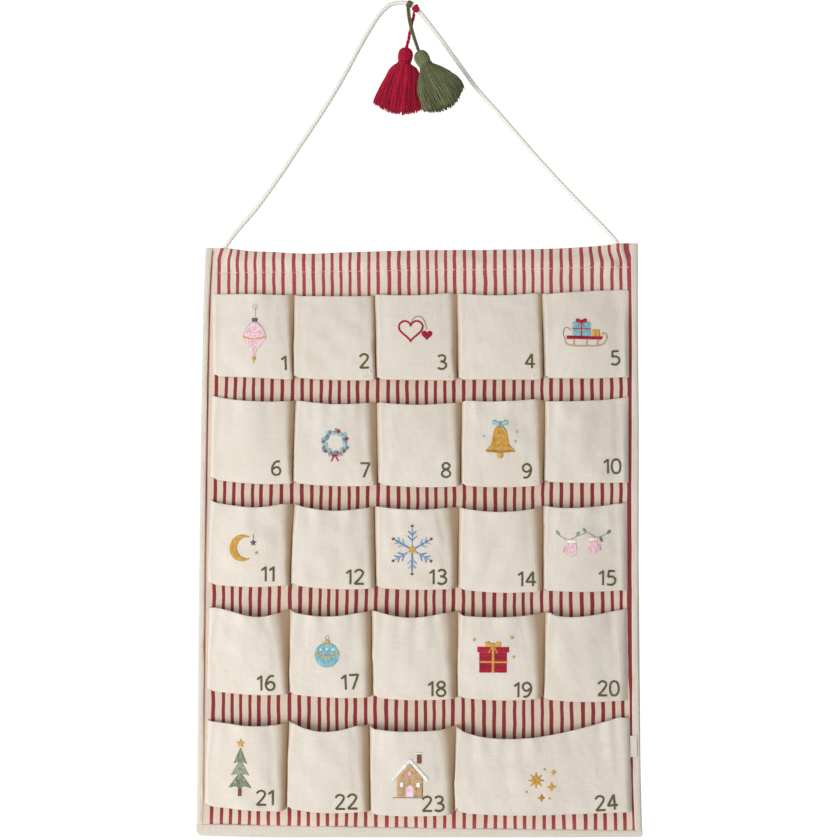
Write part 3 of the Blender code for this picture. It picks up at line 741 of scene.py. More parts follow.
def make_binding(name, node, line, widths, flip, seed, proud=0.0):
    """A folded strip along an edge.

    line is the edge's points, widths how far the strip reaches in, and flip its inner side. A proud strip
    lies over the others and keeps its section upright.
    """
    line = np.asarray(line, float)
    along = unit(np.gradient(line, axis=0))
    inward = np.stack([along[:, 1], -along[:, 0]], 1) * flip
    if proud:
        inward[:] = (0.0, 1.0)
    run = run_along(line)
    rows = []
    for i, (point, way, width) in enumerate(zip(line, inward, widths)):
        half = binding_section(width)
        section = half + [(inset, -forward) for inset, forward in half[-2::-1]]
        pucker = 0.00016 * wander(run[i], 0.0, seed, 0.012)
        wave = 0.00035 * wander(run[i], 0.0, seed + 1, 0.060)
        row = []
        for inset, forward in section:
            lift = (pucker * hump(inset - width + 0.0017,
                                  0.002) + wave * inset / width) if forward > 0 else 0.0
            flat = point + way * (inset + 0.3 * wave * (inset / width))
            row.append((flat[0], -(forward + lift + math.copysign(proud, forward)), flat[1]))
        rows.append(row)
    verts = np.array(rows)
    gaps = np.linalg.norm(np.diff(verts, axis=1), axis=2)
    girth = np.concatenate([np.zeros((len(verts), 1)), np.cumsum(gaps, 1)], 1)
    uv = np.stack([girth, np.broadcast_to(run[:, None], girth.shape)], -1).reshape(-1, 2)
    piece = new_piece(name, verts.reshape(-1, 3), grid_faces(*verts.shape[:2]), BINDING, uvs={"cloth": uv})
    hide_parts(node)


def make_bindings():
    for name, node, edge, inner, flip, seed in (
        ("left_binding_strip", "binding_left", LEFT_X, LEFT_INNER_X, 1, 61),
        ("right_binding_strip", "binding_right", RIGHT_X, RIGHT_INNER_X, -1, 60),
    ):
        low, high = float(BOTTOM_Z(edge(PANEL_BOTTOM))), float(TOP_Z(edge(PANEL_TOP)))
        zs = between(low + CORNER_ROUND + 0.0008, high - 0.0004, np.linspace(0, 1, 250))
        xs = edge(zs)
        make_binding(name, node, np.stack([xs, zs], 1), np.abs(inner(zs) - xs) + INNER_LIP, flip, seed)
    # the bottom strip runs the full width, over the ends of the others, with a round corner at either end
    turn = np.linspace(0, 1, 14)[:-1] * math.pi / 2
    inset, lift = 1 - np.cos(turn), 1 - np.sin(turn)
    left, right = float(LEFT_X(-0.8740)), float(RIGHT_X(-0.8760))
    xs = np.concatenate([left + CORNER_ROUND * inset, np.linspace(left + CORNER_ROUND, right - RIGHT_ROUND,
                                                                  190),
                         (right - RIGHT_ROUND * inset)[::-1]])
    zs = BOTTOM_Z(xs) + 0.0002
    zs[: len(turn)] += CORNER_ROUND * lift
    zs[-len(turn) :] += RIGHT_ROUND * lift[::-1]
    make_binding("bottom_binding_strip", "binding_bottom", np.stack([xs, zs], 1), BOTTOM_INNER_Z(xs) - zs, -1,
                 71,
                 proud=0.00025)


# Stitches

STITCH_THREAD = 0.00055
CLOTH_THREAD = srgb(226, 206, 192)
BINDING_THREAD = srgb(226, 212, 190)
# Each kind of stitch: its length and the gap to the next
LONG_STITCH = (0.0027, 0.0009)
SHORT_STITCH = (0.0025, 0.0008)


def stitch_row(points, out, stitch, colour, seed, sink=0.00035):
    """Thread stitches along a line on the cloth, each dipping in at both ends. out is the way they stand."""
    line, run = resampled(points, 0.0004)
    length, gap = stitch
    rng = np.random.default_rng(seed)
    paths, colours = [], []
    start = 0.0004
    while start + length < run[-1]:
        size = length * rng.uniform(0.9, 1.08)
        middle = read_line(start + size * np.array([0.0, 0.14, 0.5, 0.86, 1.0]), run, line)
        rise = np.array([-sink, 0.00010, 0.00026, 0.00010, -sink])
        middle = middle + np.array(out) * rise[:, None]
        middle[:, 0] += rng.normal(0, 0.00006)
        paths.append(middle)
        colours.append(np.array(colour) * rng.uniform(0.9, 1.08))
        start += size + gap * rng.uniform(0.8, 1.2)
    return tubes(np.array(paths), STITCH_THREAD, STITCH_THREAD * 0.8, colours=colours)


def make_stitches():
    x = np.linspace(-0.2000, 0.2455, 500)
    z = STITCH_Z(x)
    top = np.stack([x, FRONT_Y - cloth_relief(x, z) - 0.0001, z], 1)
    rows = [stitch_row(top, FORWARD, LONG_STITCH, CLOTH_THREAD, 81)]
    level_y = np.full(400, -BINDING_FACE)
    zs = np.linspace(-0.8660, -0.2690, 400)
    for inner, sign, seed in ((LEFT_INNER_X, -1, 82), (RIGHT_INNER_X, 1, 83)):
        xs = inner(zs) + sign * (0.0017 - INNER_LIP)
        rows.append(stitch_row(np.stack([xs, level_y + 0.0002, zs], 1), FORWARD, SHORT_STITCH, BINDING_THREAD,
                               seed))
    xs = np.linspace(-0.1965, 0.2440, 400)
    lower = np.stack([xs, level_y + 0.0001, LOWER_STITCH_Z(xs)], 1)
    rows.append(stitch_row(lower, FORWARD, SHORT_STITCH, BINDING_THREAD, 84))
    top_back = np.stack([x, np.full(500, 0.0012), np.full(500, PANEL_TOP - CASING_HEM + 0.0016)], 1)
    rows.append(stitch_row(top_back, (0.0, 1.0, 0.0), LONG_STITCH, CLOTH_THREAD, 85))
    verts, faces, tints = joined(*rows)
    piece = new_piece("sewing_stitches", verts, faces, FLOSS, tints=tints)


# Pockets

FACE_Y = -0.0135
SEAM_Y = -0.0015
OUTER_SHALLOWER = 0.0058
MOUTH_HEM = 0.011
HEM_ROWS = 5
CLOTH_THICK = 0.0011
WALL_POINTS = 12
FACE_POINTS = 60
WIDE_FACE_POINTS = 100
FACE_ROWS = 60

# Each pocket's face in the photograph, as pixels across and down in turn: left edge top, middle and bottom,
# right edge top, middle and bottom, the mouth's lowest point and the bottom edge's lowest point
POCKETS_PX = {
    1: (213.3, 293.8, 213.5, 335, 214, 375.6, 289.1, 295.5, 290.5, 335, 293, 379.6, 250, 294.5, 250, 377),
    2: (296.8, 296.4, 294.7, 335, 294.3, 377.3, 373.3, 296.5, 373.3, 335, 375.2, 380, 335, 296.9, 335, 379.8),
    3: (376.9, 294.9, 378.3, 335, 377.5, 379.1, 453.1, 293.6, 453.1, 335, 455.4, 380.2, 415, 295.9, 415,
        379.9),
    4: (459.3, 294.1, 461, 335, 459.6, 379.4, 539, 293.6, 541, 335, 541.6, 379.7, 500, 295.9, 500, 379.4),
    5: (543.9, 294.3, 545.9, 335, 546.3, 377.5, 626.7, 289.5, 627.0, 335, 627.3, 376.2, 586, 291.8, 586,
        378.1),
    6: (214, 396.7, 211.9, 438, 211, 478.6, 289.8, 401.6, 289.8, 438, 291.7, 483.7, 250, 401.4, 250, 483.5),
    7: (298.2, 401.2, 295.4, 443, 294.4, 483.1, 370.5, 403.5, 371.2, 443, 375.6, 485.6, 335, 404.7, 335,
        486.1),
    8: (378.9, 402.9, 380.3, 443, 379.6, 484.7, 456.8, 403.5, 457.5, 443, 458.8, 486.6, 417, 405.3, 417,
        487.1),
    9: (464.1, 400.9, 462.6, 443, 462.6, 485.7, 539.1, 399.7, 539.9, 443, 541.6, 485.7, 502, 402, 502, 487.3),
    10: (547.2, 401.6, 546.5, 443, 545.2, 481.8, 626.7, 398.1, 626.6, 443, 626.2, 482.2, 588, 401.3, 588,
         482.9),
    11: (212.6, 503.3, 208.4, 543, 209.2, 584.7, 287.7, 504.7, 287.7, 543, 288, 585.6, 256, 507.9, 250,
         587.1),
    12: (296.8, 506.3, 293.3, 545, 292.3, 585.2, 371.2, 508.7, 371.9, 545, 373.2, 588.7, 333, 511.2, 333,
         589.2),
    13: (376.8, 507.3, 377.5, 547, 378, 588.3, 449.4, 508.8, 453.6, 547, 453.6, 589.2, 414, 510.2, 415,
         589.9),
    14: (461.6, 509.1, 460.9, 548, 459.7, 589.5, 536.9, 510.2, 538.4, 548, 540.4, 591.9, 499, 512.5, 499,
         592.7),
    15: (545.5, 506.7, 544.1, 548, 544.8, 590.5, 625.2, 504.2, 625.2, 545, 625.2, 590.7, 578, 508.5, 585,
         592.1),
    16: (211.2, 608.4, 208, 650, 208, 691.7, 278.6, 615.8, 283.6, 650, 287.2, 695, 256, 617, 250, 695),
    17: (292.6, 613.6, 290.5, 653, 290.8, 694.4, 366.3, 613.5, 368.4, 653, 368.2, 698.1, 330, 617, 330,
         697.8),
    18: (374, 611.9, 373.3, 653, 374.9, 698, 448.7, 614.4, 450.8, 653, 453.4, 699.6, 411, 618.1, 414, 700.4),
    19: (460.2, 616.3, 458, 655, 459, 697.6, 534, 616.3, 538.4, 655, 539.8, 699.3, 497, 617.8, 499, 700.7),
    20: (547.7, 613.3, 545.5, 655, 545.4, 699.7, 624.4, 611.7, 624.4, 653, 624.6, 701.7, 575, 617.7, 585,
         702.4),
    21: (209.1, 723, 206.1, 762, 205.8, 807.5, 283.1, 725.8, 283.1, 764, 282.8, 812, 253, 726.6, 245, 810.6),
    22: (291.2, 724.2, 288.3, 766, 288.2, 809.1, 363.8, 726.7, 364.6, 766, 367.6, 812.2, 325, 732.3, 328,
         813.5),
    23: (371.9, 729.8, 371.2, 768, 372.2, 814.9, 446.4, 731.2, 450.1, 769, 451.5, 815.7, 407, 732, 412,
         816.6),
    24: (458.1, 730.2, 454.6, 769, 456.2, 810, 628.3, 718.8, 629.8, 764, 630.8, 814, 526, 739, 500, 815.7),
}
# The seams beside and between the columns, row by row: pixels across and down at the top, and again at the
# bottom
SEAMS_PX = (
    ((212.3, 295, 212.6, 378), (294.4, 295, 293.2, 377), (374.8, 296.5, 376.2, 378),
     (457.0, 294.5, 457.6, 378),
     (541.6, 294, 543.6, 376), (628.8, 291, 629.2, 376)),
    ((211.8, 396, 209.8, 483), (295.6, 401, 293.0, 482), (376.6, 403.6, 377.8, 483), (461.6, 403, 460.8, 484),
     (544.8, 401, 543.6, 481), (628.6, 397, 628.6, 483)),
    ((210.2, 500, 207.8, 586), (294.2, 504, 290.6, 584), (374.6, 506.6, 376.0, 586), (459.0, 507, 457.8, 587),
     (543.0, 506.4, 543.0, 588), (627.4, 503, 627.6, 589)),
    ((209.0, 608, 206.8, 692), (290.0, 609.4, 289.4, 692.6), (371.6, 610.4, 373.0, 695.4),
     (457.6, 611, 457.2, 697.0), (545.0, 612.2, 543.8, 696.0), (626.8, 608, 627.4, 698)),
    ((207.4, 720, 204.8, 807), (289.0, 721, 286.8, 808.0), (369.6, 724.4, 370.6, 811),
     (455.6, 725.4, 454.4, 812.0), (629.8, 718.6, 631.4, 812)),
)
# Small creases at the lower corners, end to end
CREASES_PX = {
    1: ((283.5, 379.2, 291.8, 374.4),),
    2: ((371.6, 370.6, 376.0, 377.8), (364.5, 377.6, 373.8, 375.0)),
    3: ((449.6, 377.6, 454.8, 373.2),),
    4: ((535.0, 376.6, 541.0, 372.4),),
    7: ((370.4, 484.8, 376.0, 481.2),),
    9: ((535.6, 482.2, 541.2, 478.4),),
    13: ((448.0, 587.2, 453.2, 582.8),),
}
# The rounding of a pocket's lower corners, across and up, left and right
CORNERS = ((0.0058, 0.0050), (0.0032, 0.0026))
# Row by row: how far the mouth's cloth waves, the share of the pocket's depth that its mouth stands open, how
# far the right side rolls off, and how far the face waves slowly
MOUTH_WAVES = (0.0003, 0.0007, 0.0010, 0.0011, 0.0009)
MOUTH_OPEN = (0.50, 0.78, 0.92, 1.0, 1.0)
ROLL_OFF = (0.0022, 0.0028, 0.0036, 0.0042, 0.0042)
SLOW_WAVES = (0.00045, 0.00055, 0.00060, 0.00060, 0.00055)
POCKET_SURFACES = {}


def curve3(top, middle, bottom, t):
    """A bend through three places at t = 0, 0.5 and 1."""
    return top * (1 - t) * (1 - 2 * t) + 4 * middle * t * (1 - t) + bottom * t * (2 * t - 1)


def pocket_seams(number):
    """The seams at a pocket's left and right: two (x, z) ends each, top and bottom."""
    row, column = divmod(number - 1, 5)
    pair = SEAMS_PX[row][column : column + 2]
    return [np.array([at(u0, v0, SEAM_Y), at(u1, v1, SEAM_Y)]) for u0, v0, u1, v1 in pair]


def bent_line(a, b, mid, share):
    """Heights along the line from a to b, bent to pass through mid, with flat ends."""
    place = np.clip((mid[0] - a[0]) / (b[0] - a[0]), 0.25, 0.75)
    depth = mid[1] - between(a[1], b[1], place)
    skew = np.log(0.5) / np.log(place)
    return between(a[1], b[1], share) + depth * np.sin(np.pi * np.clip(share, 0, 1) ** skew) ** 0.9


def side_wall(side, seam, edge, outer, full, shallower, row, t):
    """One side's (x, y) points at one height, from the seam to the face, and where the face takes over."""
    sign = (1, -1)[side]
    deep = full - (shallower if outer else 0.0)
    floor_y = SEAM_Y - (0.0 if outer else 0.0026 * math.sin(math.pi * t) ** 0.5)
    # the left side turns in sharply, the right side rolls off
    low, high, roll, drop_off = ((0.15, 0.45, 0.0012, 0.99),
                                 (0.42, 0.36, ROLL_OFF[row], 0.96 - 0.01 * row))[side]
    turn_in = roll + (0.0016, 0.0034)[side] * (1 - t) ** 1.8 * (1.0 if row < 2 else 1.35)
    start = np.array([seam + sign * 0.0001, floor_y])
    c1 = np.array([between(seam, edge, low), between(floor_y, -deep, high)])
    c2 = np.array([edge - sign * 0.0003, -deep * drop_off])
    end = np.array([edge + sign * turn_in, -deep])
    w = np.linspace(0, 1, WALL_POINTS + 1)[:-1, None]
    curve = start * (1 - w) ** 3 + c1 * (3 * w * (1 - w) ** 2) + c2 * (3 * w * w * (1 - w)) + end * w**3
    return curve, end[0]


def turned_under(X, Y, Z, T):
    """The rows where the lower edge turns under, back to the cloth, and how far the face is short."""
    turn = np.minimum(0.0014, 0.42 * np.clip(-Y[-1] + SEAM_Y, 0, None))
    rows = [(Y[-1] + turn * (1 - math.cos(a)), Z[-1] - turn * math.sin(a))
            for a in np.linspace(0, math.pi / 2, 5)[1:]]
    end_y, end_z = rows[-1]
    rows += [(between(end_y, SEAM_Y + 0 * end_y, q), end_z + 0.0016 * q * q) for q in (0.35, 0.7, 1.0)]
    # the face stops short of its lowest line, so that the turn ends on it
    short = turn[None] * T**3
    Y, Z = (np.array([row[k] for row in rows]) for k in (0, 1))
    return np.stack([np.repeat(X[-1][None], len(rows), 0), Y, Z + short[-1][None]], -1), short


def mouth_hem(P, middle):
    """The rows in which the hem lies inside the pocket and rolls over the mouth."""
    normal = unit(np.cross(np.gradient(P, axis=1), np.gradient(P, axis=0)), TINY)
    if normal[len(P) // 2, middle, 1] > 0:
        normal = -normal
    rows = []
    for k in range(HEM_ROWS, 0, -1):
        drops = P[0, middle, 2] - P[:, middle, 2]
        index = np.interp(MOUTH_HEM * k / HEM_ROWS, drops, np.arange(len(P)))
        i = int(index)
        base, inward = (between(grid[i], grid[i + 1], index - i) for grid in (P, normal))
        rows.append(base - inward * CLOTH_THICK)
    for a in np.linspace(math.pi, 0, 5)[1:-1]:
        over = np.array([0, 0, 1.0]) * CLOTH_THICK * 0.55 * math.sin(a)
        rows.append(P[0] - normal[0] * CLOTH_THICK * (1 - math.cos(a)) / 2 + over)
    return np.array(rows)


def make_pocket(number):
    """A pocket as one grid of points: wall, face and wall across; hem, face and turned edge going down."""
    row = (number - 1) // 5
    wide = 2 if number == 24 else 1
    rng = np.random.default_rng(900 + number)
    mouth_open = MOUTH_OPEN[row]
    open_halfway = 1 - (1 - mouth_open) / 4
    opens = (mouth_open, open_halfway, 1, mouth_open, open_halfway, 1, mouth_open, 1)
    px = POCKETS_PX[number]
    lt, lm, lb, rt, rm, rb, dip, low = [
        np.array(at(u, v, FACE_Y * share)) for u, v, share in zip(px[::2], px[1::2], opens)
    ]
    seams = pocket_seams(number)
    outer = number % 5 == 1, number % 5 == 0 or number == 24
    face_points = FACE_POINTS if wide == 1 else WIDE_FACE_POINTS
    t = np.linspace(0, 1, FACE_ROWS)
    t = 0.45 * t + 0.55 * t * (2 - t)
    s = (1 - np.cos(np.pi * np.linspace(0, 1, face_points))) / 2
    s = 0.7 * s + 0.3 * np.linspace(0, 1, face_points)
    columns = 2 * WALL_POINTS + face_points
    left, right = slice(0, WALL_POINTS), slice(columns - WALL_POINTS, columns)
    X, Y = np.zeros((FACE_ROWS, columns)), np.zeros((FACE_ROWS, columns))
    S = np.concatenate([np.zeros(WALL_POINTS), s, np.ones(WALL_POINTS)])
    mouth, foot = bent_line(lt, rt, dip, S), bent_line(lb, rb, low, S)
    for j, tj in enumerate(t):
        edges = [curve3(a[0], b[0], between(b[0], c[0], 0.4), tj) + 0.6 * (c[0] - b[0]) * tj**7
                 for a, b, c in ((lt, lm, lb), (rt, rm, rb))]
        full = (-FACE_Y - 0.0004 + 0.0012 * math.sin(math.pi * tj)) * (1 - (1 - mouth_open) * (1 - tj) ** 2)
        shallower = min(OUTER_SHALLOWER, 0.6 * full)
        (wall_l, start), (wall_r, end) = (
            side_wall(side, between(*seams[side][:, 0], tj), edges[side], outer[side], full, shallower, row,
                      tj)
            for side in (0, 1)
        )
        X[j] = np.concatenate([wall_l[:, 0], between(start, end, s), wall_r[::-1, 0]])
        face = -full + shallower * (outer[0] * hump(s, 0.42) + outer[1] * hump(1 - s, 0.42))
        Y[j] = np.concatenate([wall_l[:, 1], face, wall_r[::-1, 1]])
    # heights: the wall's mouth climbs a little to the seam
    rising = np.linspace(0, 1, WALL_POINTS + 1)[1:]
    reach = np.concatenate([np.linspace(1, 0, WALL_POINTS + 1)[:-1], np.zeros(face_points), rising])
    climbs = seams[0][0][1] - lt[1], seams[1][0][1] - rt[1]
    top_z = mouth + np.where(np.arange(columns) < columns // 2, *climbs) * reach
    low_z = foot.copy()
    for (wide_round, tall_round), inward in zip(CORNERS, (X[-1] - lb[0], rb[0] - X[-1])):
        low_z += tall_round * (1 - np.sqrt(1 - np.clip(1 - inward / wide_round, 0, 1) ** 2))
    for wall, corner, seam, outside in zip((left, right), (WALL_POINTS, -WALL_POINTS - 1), seams, outer):
        low_z[wall] = low_z[corner] if outside else between(low_z[corner], seam[1][1], reach[wall])
    Z = between(top_z[None], low_z[None], t[:, None])
    # fullness, waves and creases, only on the face
    T, S2 = np.broadcast_to(t[:, None], X.shape), np.broadcast_to(S[None], X.shape)
    on_face = reach[None] == 0
    fade = (ease(S, 0.0, 0.16 / wide) * ease(S, 1.0, 1 - 0.16 / wide))[None] * on_face
    crown = 0.0015 * (np.sin(np.pi * np.clip(S2, 0, 1)) ** 0.7)
    crown = crown * (0.35 + 0.65 * np.sin(np.pi * np.clip(T * 0.9 + 0.08, 0, 1)))
    lean = 0.0016 * (1 - T) ** 2.2 * np.sin(np.pi * S2) * (1.0 if row else 0.5)
    slow = SLOW_WAVES[row] * wander(X, Z, 100 + number, 0.036) + 0.00010 * wander(X, Z, 200 + number, 0.012)
    mouth_wave = MOUTH_WAVES[row] * wander(X, Z * 0.18, 300 + number, 0.024) * np.exp(-T / 0.30)
    Y -= fade * (crown + lean + slow + mouth_wave)
    # side folds bow a little, so that an edge isn't a ruled line
    middle = 0.5 + 0 * Z
    bow = 0.00045 * wander(middle, Z, 400 + number, 0.045) + 0.0002 * wander(middle, Z, 450 + number, 0.014)
    X += bow * (hump(np.minimum(S2, 1 - S2), 0.06 / wide) * (1 - reach[None] ** 2))
    # creases at the lower corners
    for u0, v0, u1, v1 in CREASES_PX.get(number, ()):
        away = away_from(X, Z, at(u0, v0, FACE_Y), at(u1, v1, FACE_Y))
        Y += (0.0009 * hump(away, 0.0008) - 0.0003 * hump(away - 0.0018, 0.0012)) * on_face
    under, short = turned_under(X, Y, Z, T)
    P = np.stack([X, Y, Z + short], -1)
    cloth = np.concatenate([mouth_hem(P, columns // 2), P, under], 0)
    cloth[..., 1] = np.minimum(cloth[..., 1], SEAM_Y + 0.0002)
    total = len(cloth)
    falls = np.linalg.norm(np.diff(cloth, axis=0), axis=2)
    lengths_v = np.concatenate([[np.zeros(columns)], np.cumsum(falls, 0)], 0)
    lengths_u = run_along(cloth[total // 2])
    shift_u, shift_v = rng.uniform(0, 0.5, 2)
    uv = np.stack([np.broadcast_to(lengths_u[None], lengths_v.shape) + shift_u,
                   lengths_v[:, [columns // 2]] + 0 * lengths_v + shift_v], -1)
    # painted shade: the tint darkens the cloth toward the painted shade colour deep in the folds beside the
    # seams
    across = np.linspace(0, 1, WALL_POINTS)
    near = np.concatenate([np.linspace(0.45, 1, WALL_POINTS), np.ones(face_points),
                           1 - 0.62 * ease(across, 0.0, 0.45)])
    # painted shade along each face's right edge, except on the outer right
    soft = (1 - 0.22 * hump(1 - S, 0.035 / wide)) if not outer[1] else np.ones(columns)
    if outer[0]:
        near[left] = 1
    # painted light: on the outer right wall the tint rises above 1 and makes the cloth lighter
    if outer[1]:
        near[right] = np.linspace(1.0, 1.16, WALL_POINTS)
    tint = np.repeat(np.tile(near * soft, (total, 1)).reshape(-1, 1), 3, 1)
    piece = new_piece(f"cloth_pocket_{number:02d}", cloth.reshape(-1, 3), grid_faces(total, columns), CANVAS,
                      uvs={"cloth": uv.reshape(-1, 2)}, tints=tint)
    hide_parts(f"pocket_{number:02d}")
    POCKET_SURFACES[number] = BVHTree.FromPolygons(P.reshape(-1, 3).tolist(), grid_faces(FACE_ROWS, columns))


# Embroidery

FLOSS_PITCH = 0.00042
THREAD_POINTS = 5
# Places narrower than this, in millimetres, get no stitch in a fill
SHORTEST_FILL = 0.35
NUMBER_HEIGHT = 0.0146
NUMBER_BREADTH = 1.16
NUMBER_STROKE = 0.0023
NUMBER_GAP = 0.0030
# Where the numbers and pictures are sewn, in front of the seams
SEWN_Y = FACE_Y - 0.0010
OLIVE = srgb(102, 97, 60)
# Centre of each number in the photograph, and its tilt in degrees
NUMBERS_PX = {
    1: (284, 363, 3), 2: (364, 361, 2), 3: (442, 362, 0), 4: (530, 361, 0), 5: (616, 357, 2),
    6: (276, 468, 0), 7: (365, 470, 0), 8: (446, 470, 0), 9: (527, 471, 0), 10: (613, 466, 1),
    11: (268, 574, 0), 12: (355, 577, 0), 13: (438, 577, 0), 14: (527, 579, 0), 15: (608, 578, 0),
    16: (266, 683, 1), 17: (350, 682, 3), 18: (437, 689, 0), 19: (523, 690, 0), 20: (609, 689, 0),
    21: (265, 798, 1), 22: (346, 802, 2), 23: (433, 804, 1), 24: (607, 804, 5),
}
# The digits in a box 100 high: width, then each stroke as (smooth, across, up, across, up, ...)
DIGITS = {
    "0": (56, (True, 28, 100, 11, 92, 2, 66, 2, 34, 11, 8, 28, 0, 45, 8, 54, 34, 54, 66, 45, 92, 28, 100)),
    "1": (30, (False, 0, 76, 24, 98), (False, 24, 100, 24, 0)),
    "2": (56, (True, 3, 82, 14, 96, 33, 100, 50, 88, 50, 70, 36, 45, 17, 21, 2, 3), (False, 2, 2, 56, 2)),
    "3": (54, (True, 4, 90, 20, 100, 41, 95, 48, 78, 37, 59, 18, 53),
          (True, 18, 53, 40, 49, 53, 30, 44, 8, 23, 0, 1, 7)),
    "4": (58, (False, 40, 100, 1, 30), (False, 0, 29, 58, 29), (False, 41, 100, 41, 0)),
    "5": (54, (False, 48, 98, 11, 98), (False, 11, 98, 8, 56),
          (True, 8, 55, 27, 60, 46, 50, 53, 30, 43, 8, 23, 0, 1, 6)),
    "6": (56, (True, 49, 97, 29, 96, 12, 76, 3, 45, 8, 14, 28, 0, 48, 10, 54, 31, 45, 51, 26, 56, 6, 40)),
    "7": (54, (False, 0, 98, 54, 98), (False, 53, 97, 19, 0)),
    "8": (56,
          (True, 28, 54, 10, 66, 6, 82, 19, 98, 37, 98, 50, 82, 46, 66, 28, 54, 8, 40, 2, 20, 16, 2, 40, 2,
           54, 20,
           48, 40, 28, 54)),
    "9": (56, (True, 7, 3, 27, 4, 44, 24, 53, 55, 48, 86, 28, 100, 8, 90, 2, 69, 11, 49, 30, 44, 50, 60)),
}


class Embroidery:
    """Threads laid on one pocket's cloth. Places are millimetres from a centre, across and up."""

    def __init__(self, number, centre, tilt=0.0, seed=0):
        self.surface = POCKET_SURFACES[number]
        self.centre = np.array(centre)
        self.turn = math.radians(tilt)
        self.rng = np.random.default_rng(seed)
        self.rods = []
        self.widths = []
        self.colours = []
        self.layer = 0.0

    def next_layer(self):
        self.layer = min(self.layer + 0.00008, 0.0004)

    def place(self, points):
        """Millimetres from the centre, turned by the tilt, as places on the pocket."""
        x, z = np.moveaxis(np.asarray(points, float) * MM, -1, 0)
        c, s = math.cos(self.turn), math.sin(self.turn)
        return np.stack([x * c - z * s, x * s + z * c], -1) + self.centre

    def thread(self, a, b, colour, lift=0.00018, arch=0.00030, width=0.00046, sink=-0.0001):
        """One stitch from a to b, in metres across and up, lying on the cloth."""
        share = np.linspace(0, 1, THREAD_POINTS)
        flat = np.asarray(a)[None] * (1 - share)[:, None] + np.asarray(b)[None] * share[:, None]
        rise = lift + arch * np.sin(math.pi * share) ** 0.6
        rise[0] = rise[-1] = sink
        rise += self.layer
        path = []
        for (x, z), up in zip(flat.tolist(), rise):
            hit = self.surface.ray_cast((x, -0.06, z), (0.0, 1.0, 0.0))[0]
            path.append((x, (hit.y if hit else FACE_Y) - up, z))
        self.rods.append(path)
        self.widths.append(width)
        self.colours.append(np.array(colour) * self.rng.uniform(0.86, 1.10))

    def line_of_satin(self, points, width, colour, smooth=True, slant=12.0, pitch=FLOSS_PITCH):
        """Short stitches side by side across a line: points and width in millimetres."""
        self.next_layer()
        line = rounded_line(points, 10) if smooth else np.asarray(points, float)
        line, _ = resampled(self.place(line), pitch)
        x, z = unit(np.gradient(line, axis=0), TINY).T
        c, s = math.cos(math.radians(90 + slant)), math.sin(math.radians(90 + slant))
        for point, side in zip(line, np.stack([x * c - z * s, x * s + z * c], 1)):
            half = width * MM / 2 * self.rng.uniform(0.90, 1.08)
            shift = side * self.rng.normal(0, 0.00005)
            self.thread(point - side * half + shift, point + side * half + shift, colour)

    def fill(self, polygon, angle, colour, pitch=FLOSS_PITCH, longest=6.5, second=None):
        """Long stitches side by side over a closed shape, in millimetres, all lying at one angle."""
        self.next_layer()
        a = math.radians(angle)
        back = np.array([[math.cos(a), math.sin(a)], [-math.sin(a), math.cos(a)]])
        turned = np.asarray(polygon, float) @ back.T
        ends = np.roll(turned, -1, axis=0)
        level, high = turned[:, 1].min() + pitch / MM / 2, turned[:, 1].max()
        while level < high:
            crossings = sorted(x0 + (level - y0) * (x1 - x0) / (y1 - y0)
                               for (x0, y0), (x1, y1) in zip(turned, ends) if (y0 - level) * (y1 - level) < 0)
            for x0, x1 in zip(crossings[::2], crossings[1::2]):
                if x1 - x0 < SHORTEST_FILL:
                    continue
                pieces = max(1, math.ceil((x1 - x0) / longest))
                cuts = [x0 + self.rng.normal(0, 0.06)]
                for k in range(1, pieces):
                    cuts.append(x0 + (x1 - x0) * k / pieces + self.rng.uniform(-0.3,
                                                                               0.3) * (x1 - x0) / pieces)
                cuts.append(x1 + self.rng.normal(0, 0.06))
                for c0, c1 in zip(cuts, cuts[1:]):
                    p = self.place(np.array([[c0 - 0.25, level], [c1 + 0.25, level]]) @ back)
                    tone = colour
                    if second is not None:
                        tone = tuple(between(np.array(colour), np.array(second),
                                             self.rng.uniform(0, 1) ** 1.6))
                    self.thread(p[0], p[1], tone, arch=0.00012, width=0.00062, sink=0.00012)
            level += pitch / MM

    def backstitch(self, points, colour, smooth=True, stitch=2.0, width=0.00058, closed=False):
        """A thin sewn line."""
        self.next_layer()
        points = list(points) + ([points[0]] if closed else [])
        line = rounded_line(points, 10) if smooth else np.asarray(points, float)
        line, run = resampled(self.place(line), 0.0002)
        start = 0.0
        while start < run[-1] - 0.0005:
            size = min(stitch * MM * self.rng.uniform(0.85, 1.15), run[-1] - start)
            ends = read_line((start, start + size), run, line)
            self.thread(ends[0], ends[1], colour, lift=0.00012, arch=0.00022, width=width)
            start += size * 0.96

    def finish(self, name):
        widths = np.array(self.widths)
        verts, faces, tints = tubes(self.rods, widths, widths * 0.8, sides=5, taper=0.6, colours=self.colours)
        piece = new_piece(name, verts, faces, FLOSS, tints=tints)


def make_number(number):
    u, v, tilt = NUMBERS_PX[number]
    work = Embroidery(number, at(u, v, SEWN_Y), tilt, 500 + number)
    height = NUMBER_HEIGHT / MM
    breadth = NUMBER_BREADTH * height
    digits = [DIGITS[c] for c in str(number)]
    gap = NUMBER_GAP / MM
    x = -(sum(wide / 100 * breadth for wide, *_ in digits) + gap * (len(digits) - 1)) / 2
    for wide, *strokes in digits:
        for smooth, *run in strokes:
            line = [(x + px / 100 * breadth, (py / 100 - 0.5) * height) for px,
                    py in zip(run[::2], run[1::2])]
            work.line_of_satin(line, NUMBER_STROKE / MM, OLIVE, smooth)
        x += wide / 100 * breadth + gap
    work.finish(f"number_{number:02d}")


def ellipse(cx, cz, a, b, count=28, start=0.0, stop=360.0):
    t = np.radians(np.linspace(start, stop, count, endpoint=stop - start < 360))
    return [(cx + a * math.cos(q), cz + b * math.sin(q)) for q in t]


